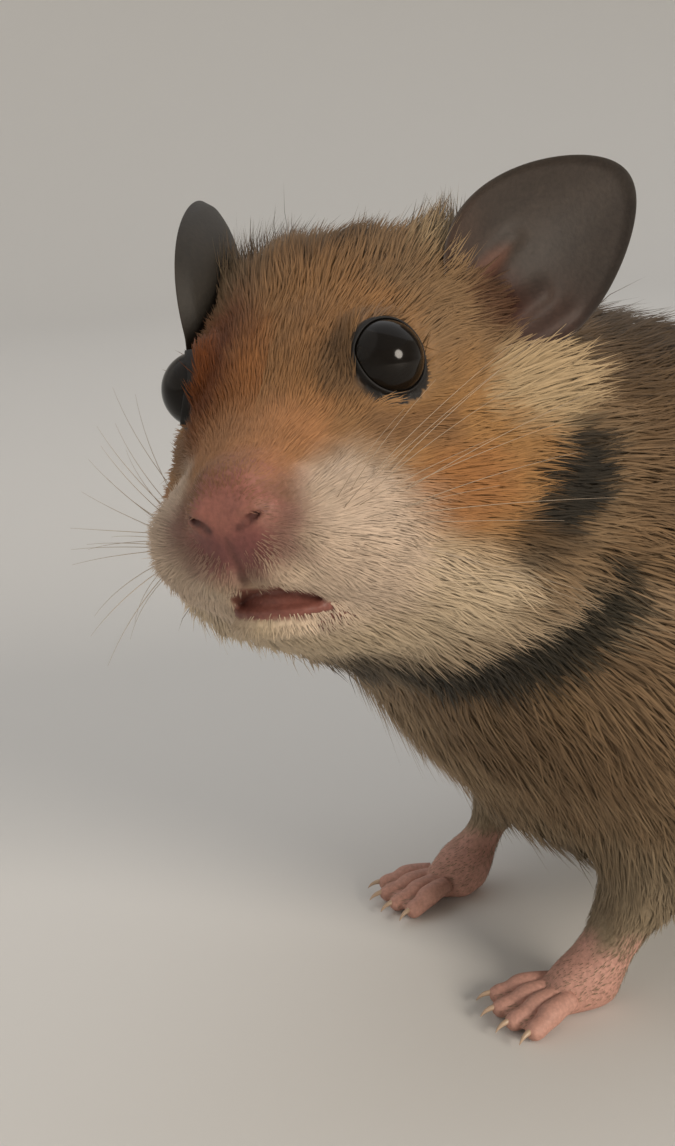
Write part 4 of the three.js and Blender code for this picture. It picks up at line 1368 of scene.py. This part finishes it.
# Whiskers and claws: round strands that follow a path and thin out towards the tip.
whiskers = {
    "seed": 9, "rows": 4, "columns": 5, "points": 10,
    # place of the front upper one in the head's frame, and steps: back along a row, and down to the next
    "first": (8.2, 2.2, 0.4), "step": (0.25, 1.35, -1.5), "scatter": 0.25,
    "length": (8.0, 15.0), "root": 0.034, "tip": 0.01, "sunk": 0.3,
    "sweep": (0.35, 0.5), "stray": 0.08, "curl": 0.3, "sag": 0.08,
}


def strandGrowth():
    # turns every path into a tube as thick as the path's own attribute says
    group = bpy.data.node_groups.new("strandGrowth", "GeometryNodeTree")
    face = group.interface
    face.new_socket("Geometry", in_out="INPUT", socket_type="NodeSocketGeometry")
    rounds = face.new_socket("Sides", in_out="INPUT", socket_type="NodeSocketInt")
    look = face.new_socket("Material", in_out="INPUT", socket_type="NodeSocketMaterial")
    face.new_socket("Geometry", in_out="OUTPUT", socket_type="NodeSocketGeometry")
    given = addNode(group, "NodeGroupInput").outputs
    thick = addNode(group, "GeometryNodeInputNamedAttribute", {"data_type": "FLOAT"}, {"Name": "thick"})
    paths = addNode(group, "GeometryNodeMeshToCurve", links={"Mesh": given["Geometry"]})
    ring = addNode(group, "GeometryNodeCurvePrimitiveCircle", inputs={"Radius": 1.0},
                   links={"Resolution": given["Sides"]})
    tubes = addNode(group, "GeometryNodeCurveToMesh", inputs={"Fill Caps": True}, links={
        "Curve": paths.outputs["Curve"], "Profile Curve": ring.outputs["Curve"],
        "Scale": thick.outputs["Attribute"]})
    real = addNode(group, "GeometryNodeRealizeInstances", links={"Geometry": tubes.outputs["Mesh"]})
    dressed = addNode(group, "GeometryNodeSetMaterial",
                      links={"Geometry": real.outputs["Geometry"], "Material": given["Material"]})
    addNode(group, "NodeGroupOutput", links={"Geometry": dressed.outputs["Geometry"]})
    return group, rounds.identifier, look.identifier


strands, strandSides, strandMaterial = strandGrowth()


def grownStrands(name, paths, material, rounds):
    # paths is a list of rows of x, y, z and radius in mm
    rows = np.concatenate(paths)
    starts = np.cumsum([0] + [len(path) for path in paths])
    edges = [(i, i + 1) for a, b in zip(starts, starts[1:]) for i in range(a, b - 1)]
    mesh = bpy.data.meshes.new(name)
    mesh.from_pydata((rows[:, :3] * mm).tolist(), edges, [])
    thick = mesh.attributes.new("thick", "FLOAT", "POINT")
    thick.data.foreach_set("value", (rows[:, 3] * mm).astype(np.float32))
    thing = linked(name, mesh)
    step = thing.modifiers.new("grow", "NODES")
    step.node_group = strands
    step[strandSides], step[strandMaterial] = rounds, material
    settle(thing)
    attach(thing, "root")
    return thing


def clawPaths():
    for node in pawNodes:
        for root, way, length in toesOf(node):
            tip = root + way * length
            yield smoothed([(*(tip + way * forward), height, radius)
                            for forward, height, radius in pawShape["claw"]], 3)


def whiskerPaths(values):
    draw = np.random.default_rng(values["seed"])
    shortest, longest = values["length"]
    for _, side in sides:
        for row in range(values["rows"]):
            for column in range(values["columns"]):
                first = np.array(values["first"]) + np.array(values["step"]) * (column, column, row)
                first = first + draw.normal(size=3) * values["scatter"]
                nearest = np.argmin(np.linalg.norm(points - fromHead(first * (side, 1, 1)), axis=-1))
                root, up = points[nearest], skinNormals[nearest]
                share = (column + draw.uniform()) / values["columns"]
                length = shortest + share * (longest - shortest)
                back = headTurning @ np.array((0.15 * side, 1, 0.25 - 0.16 * row))
                sweep = values["sweep"][0] + values["sweep"][1] * share
                way = unit(up + back * sweep + draw.normal(size=3) * values["stray"])
                t = np.linspace(0, 1, values["points"])[:, None]
                path = root - up * values["sunk"] + way * length * t + back * length * values["curl"] * t**2
                path = path - (0, 0, values["sag"] * length) * t**2
                yield np.c_[path, values["root"] + (values["tip"] - values["root"]) * t]


# pale horn: smooth enough for a soft highlight along each claw
horn, _ = newMaterial("pawClawHorn", {"Base Color": (*srgb("#b79d84"), 1), "Roughness": 0.35})
claws = grownStrands("claws", list(clawPaths()), horn, 8)
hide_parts(*pawNodes)
# pale stiff hair: a little glossier than the coat, so that single strands catch the light
bristle, _ = newMaterial("whiskerHair", {"Base Color": (*srgb("#a8957f"), 1), "Roughness": 0.45})
whisker = grownStrands("whiskers", list(whiskerPaths(whiskers)), bristle, 5)
print("claws and whiskers made")
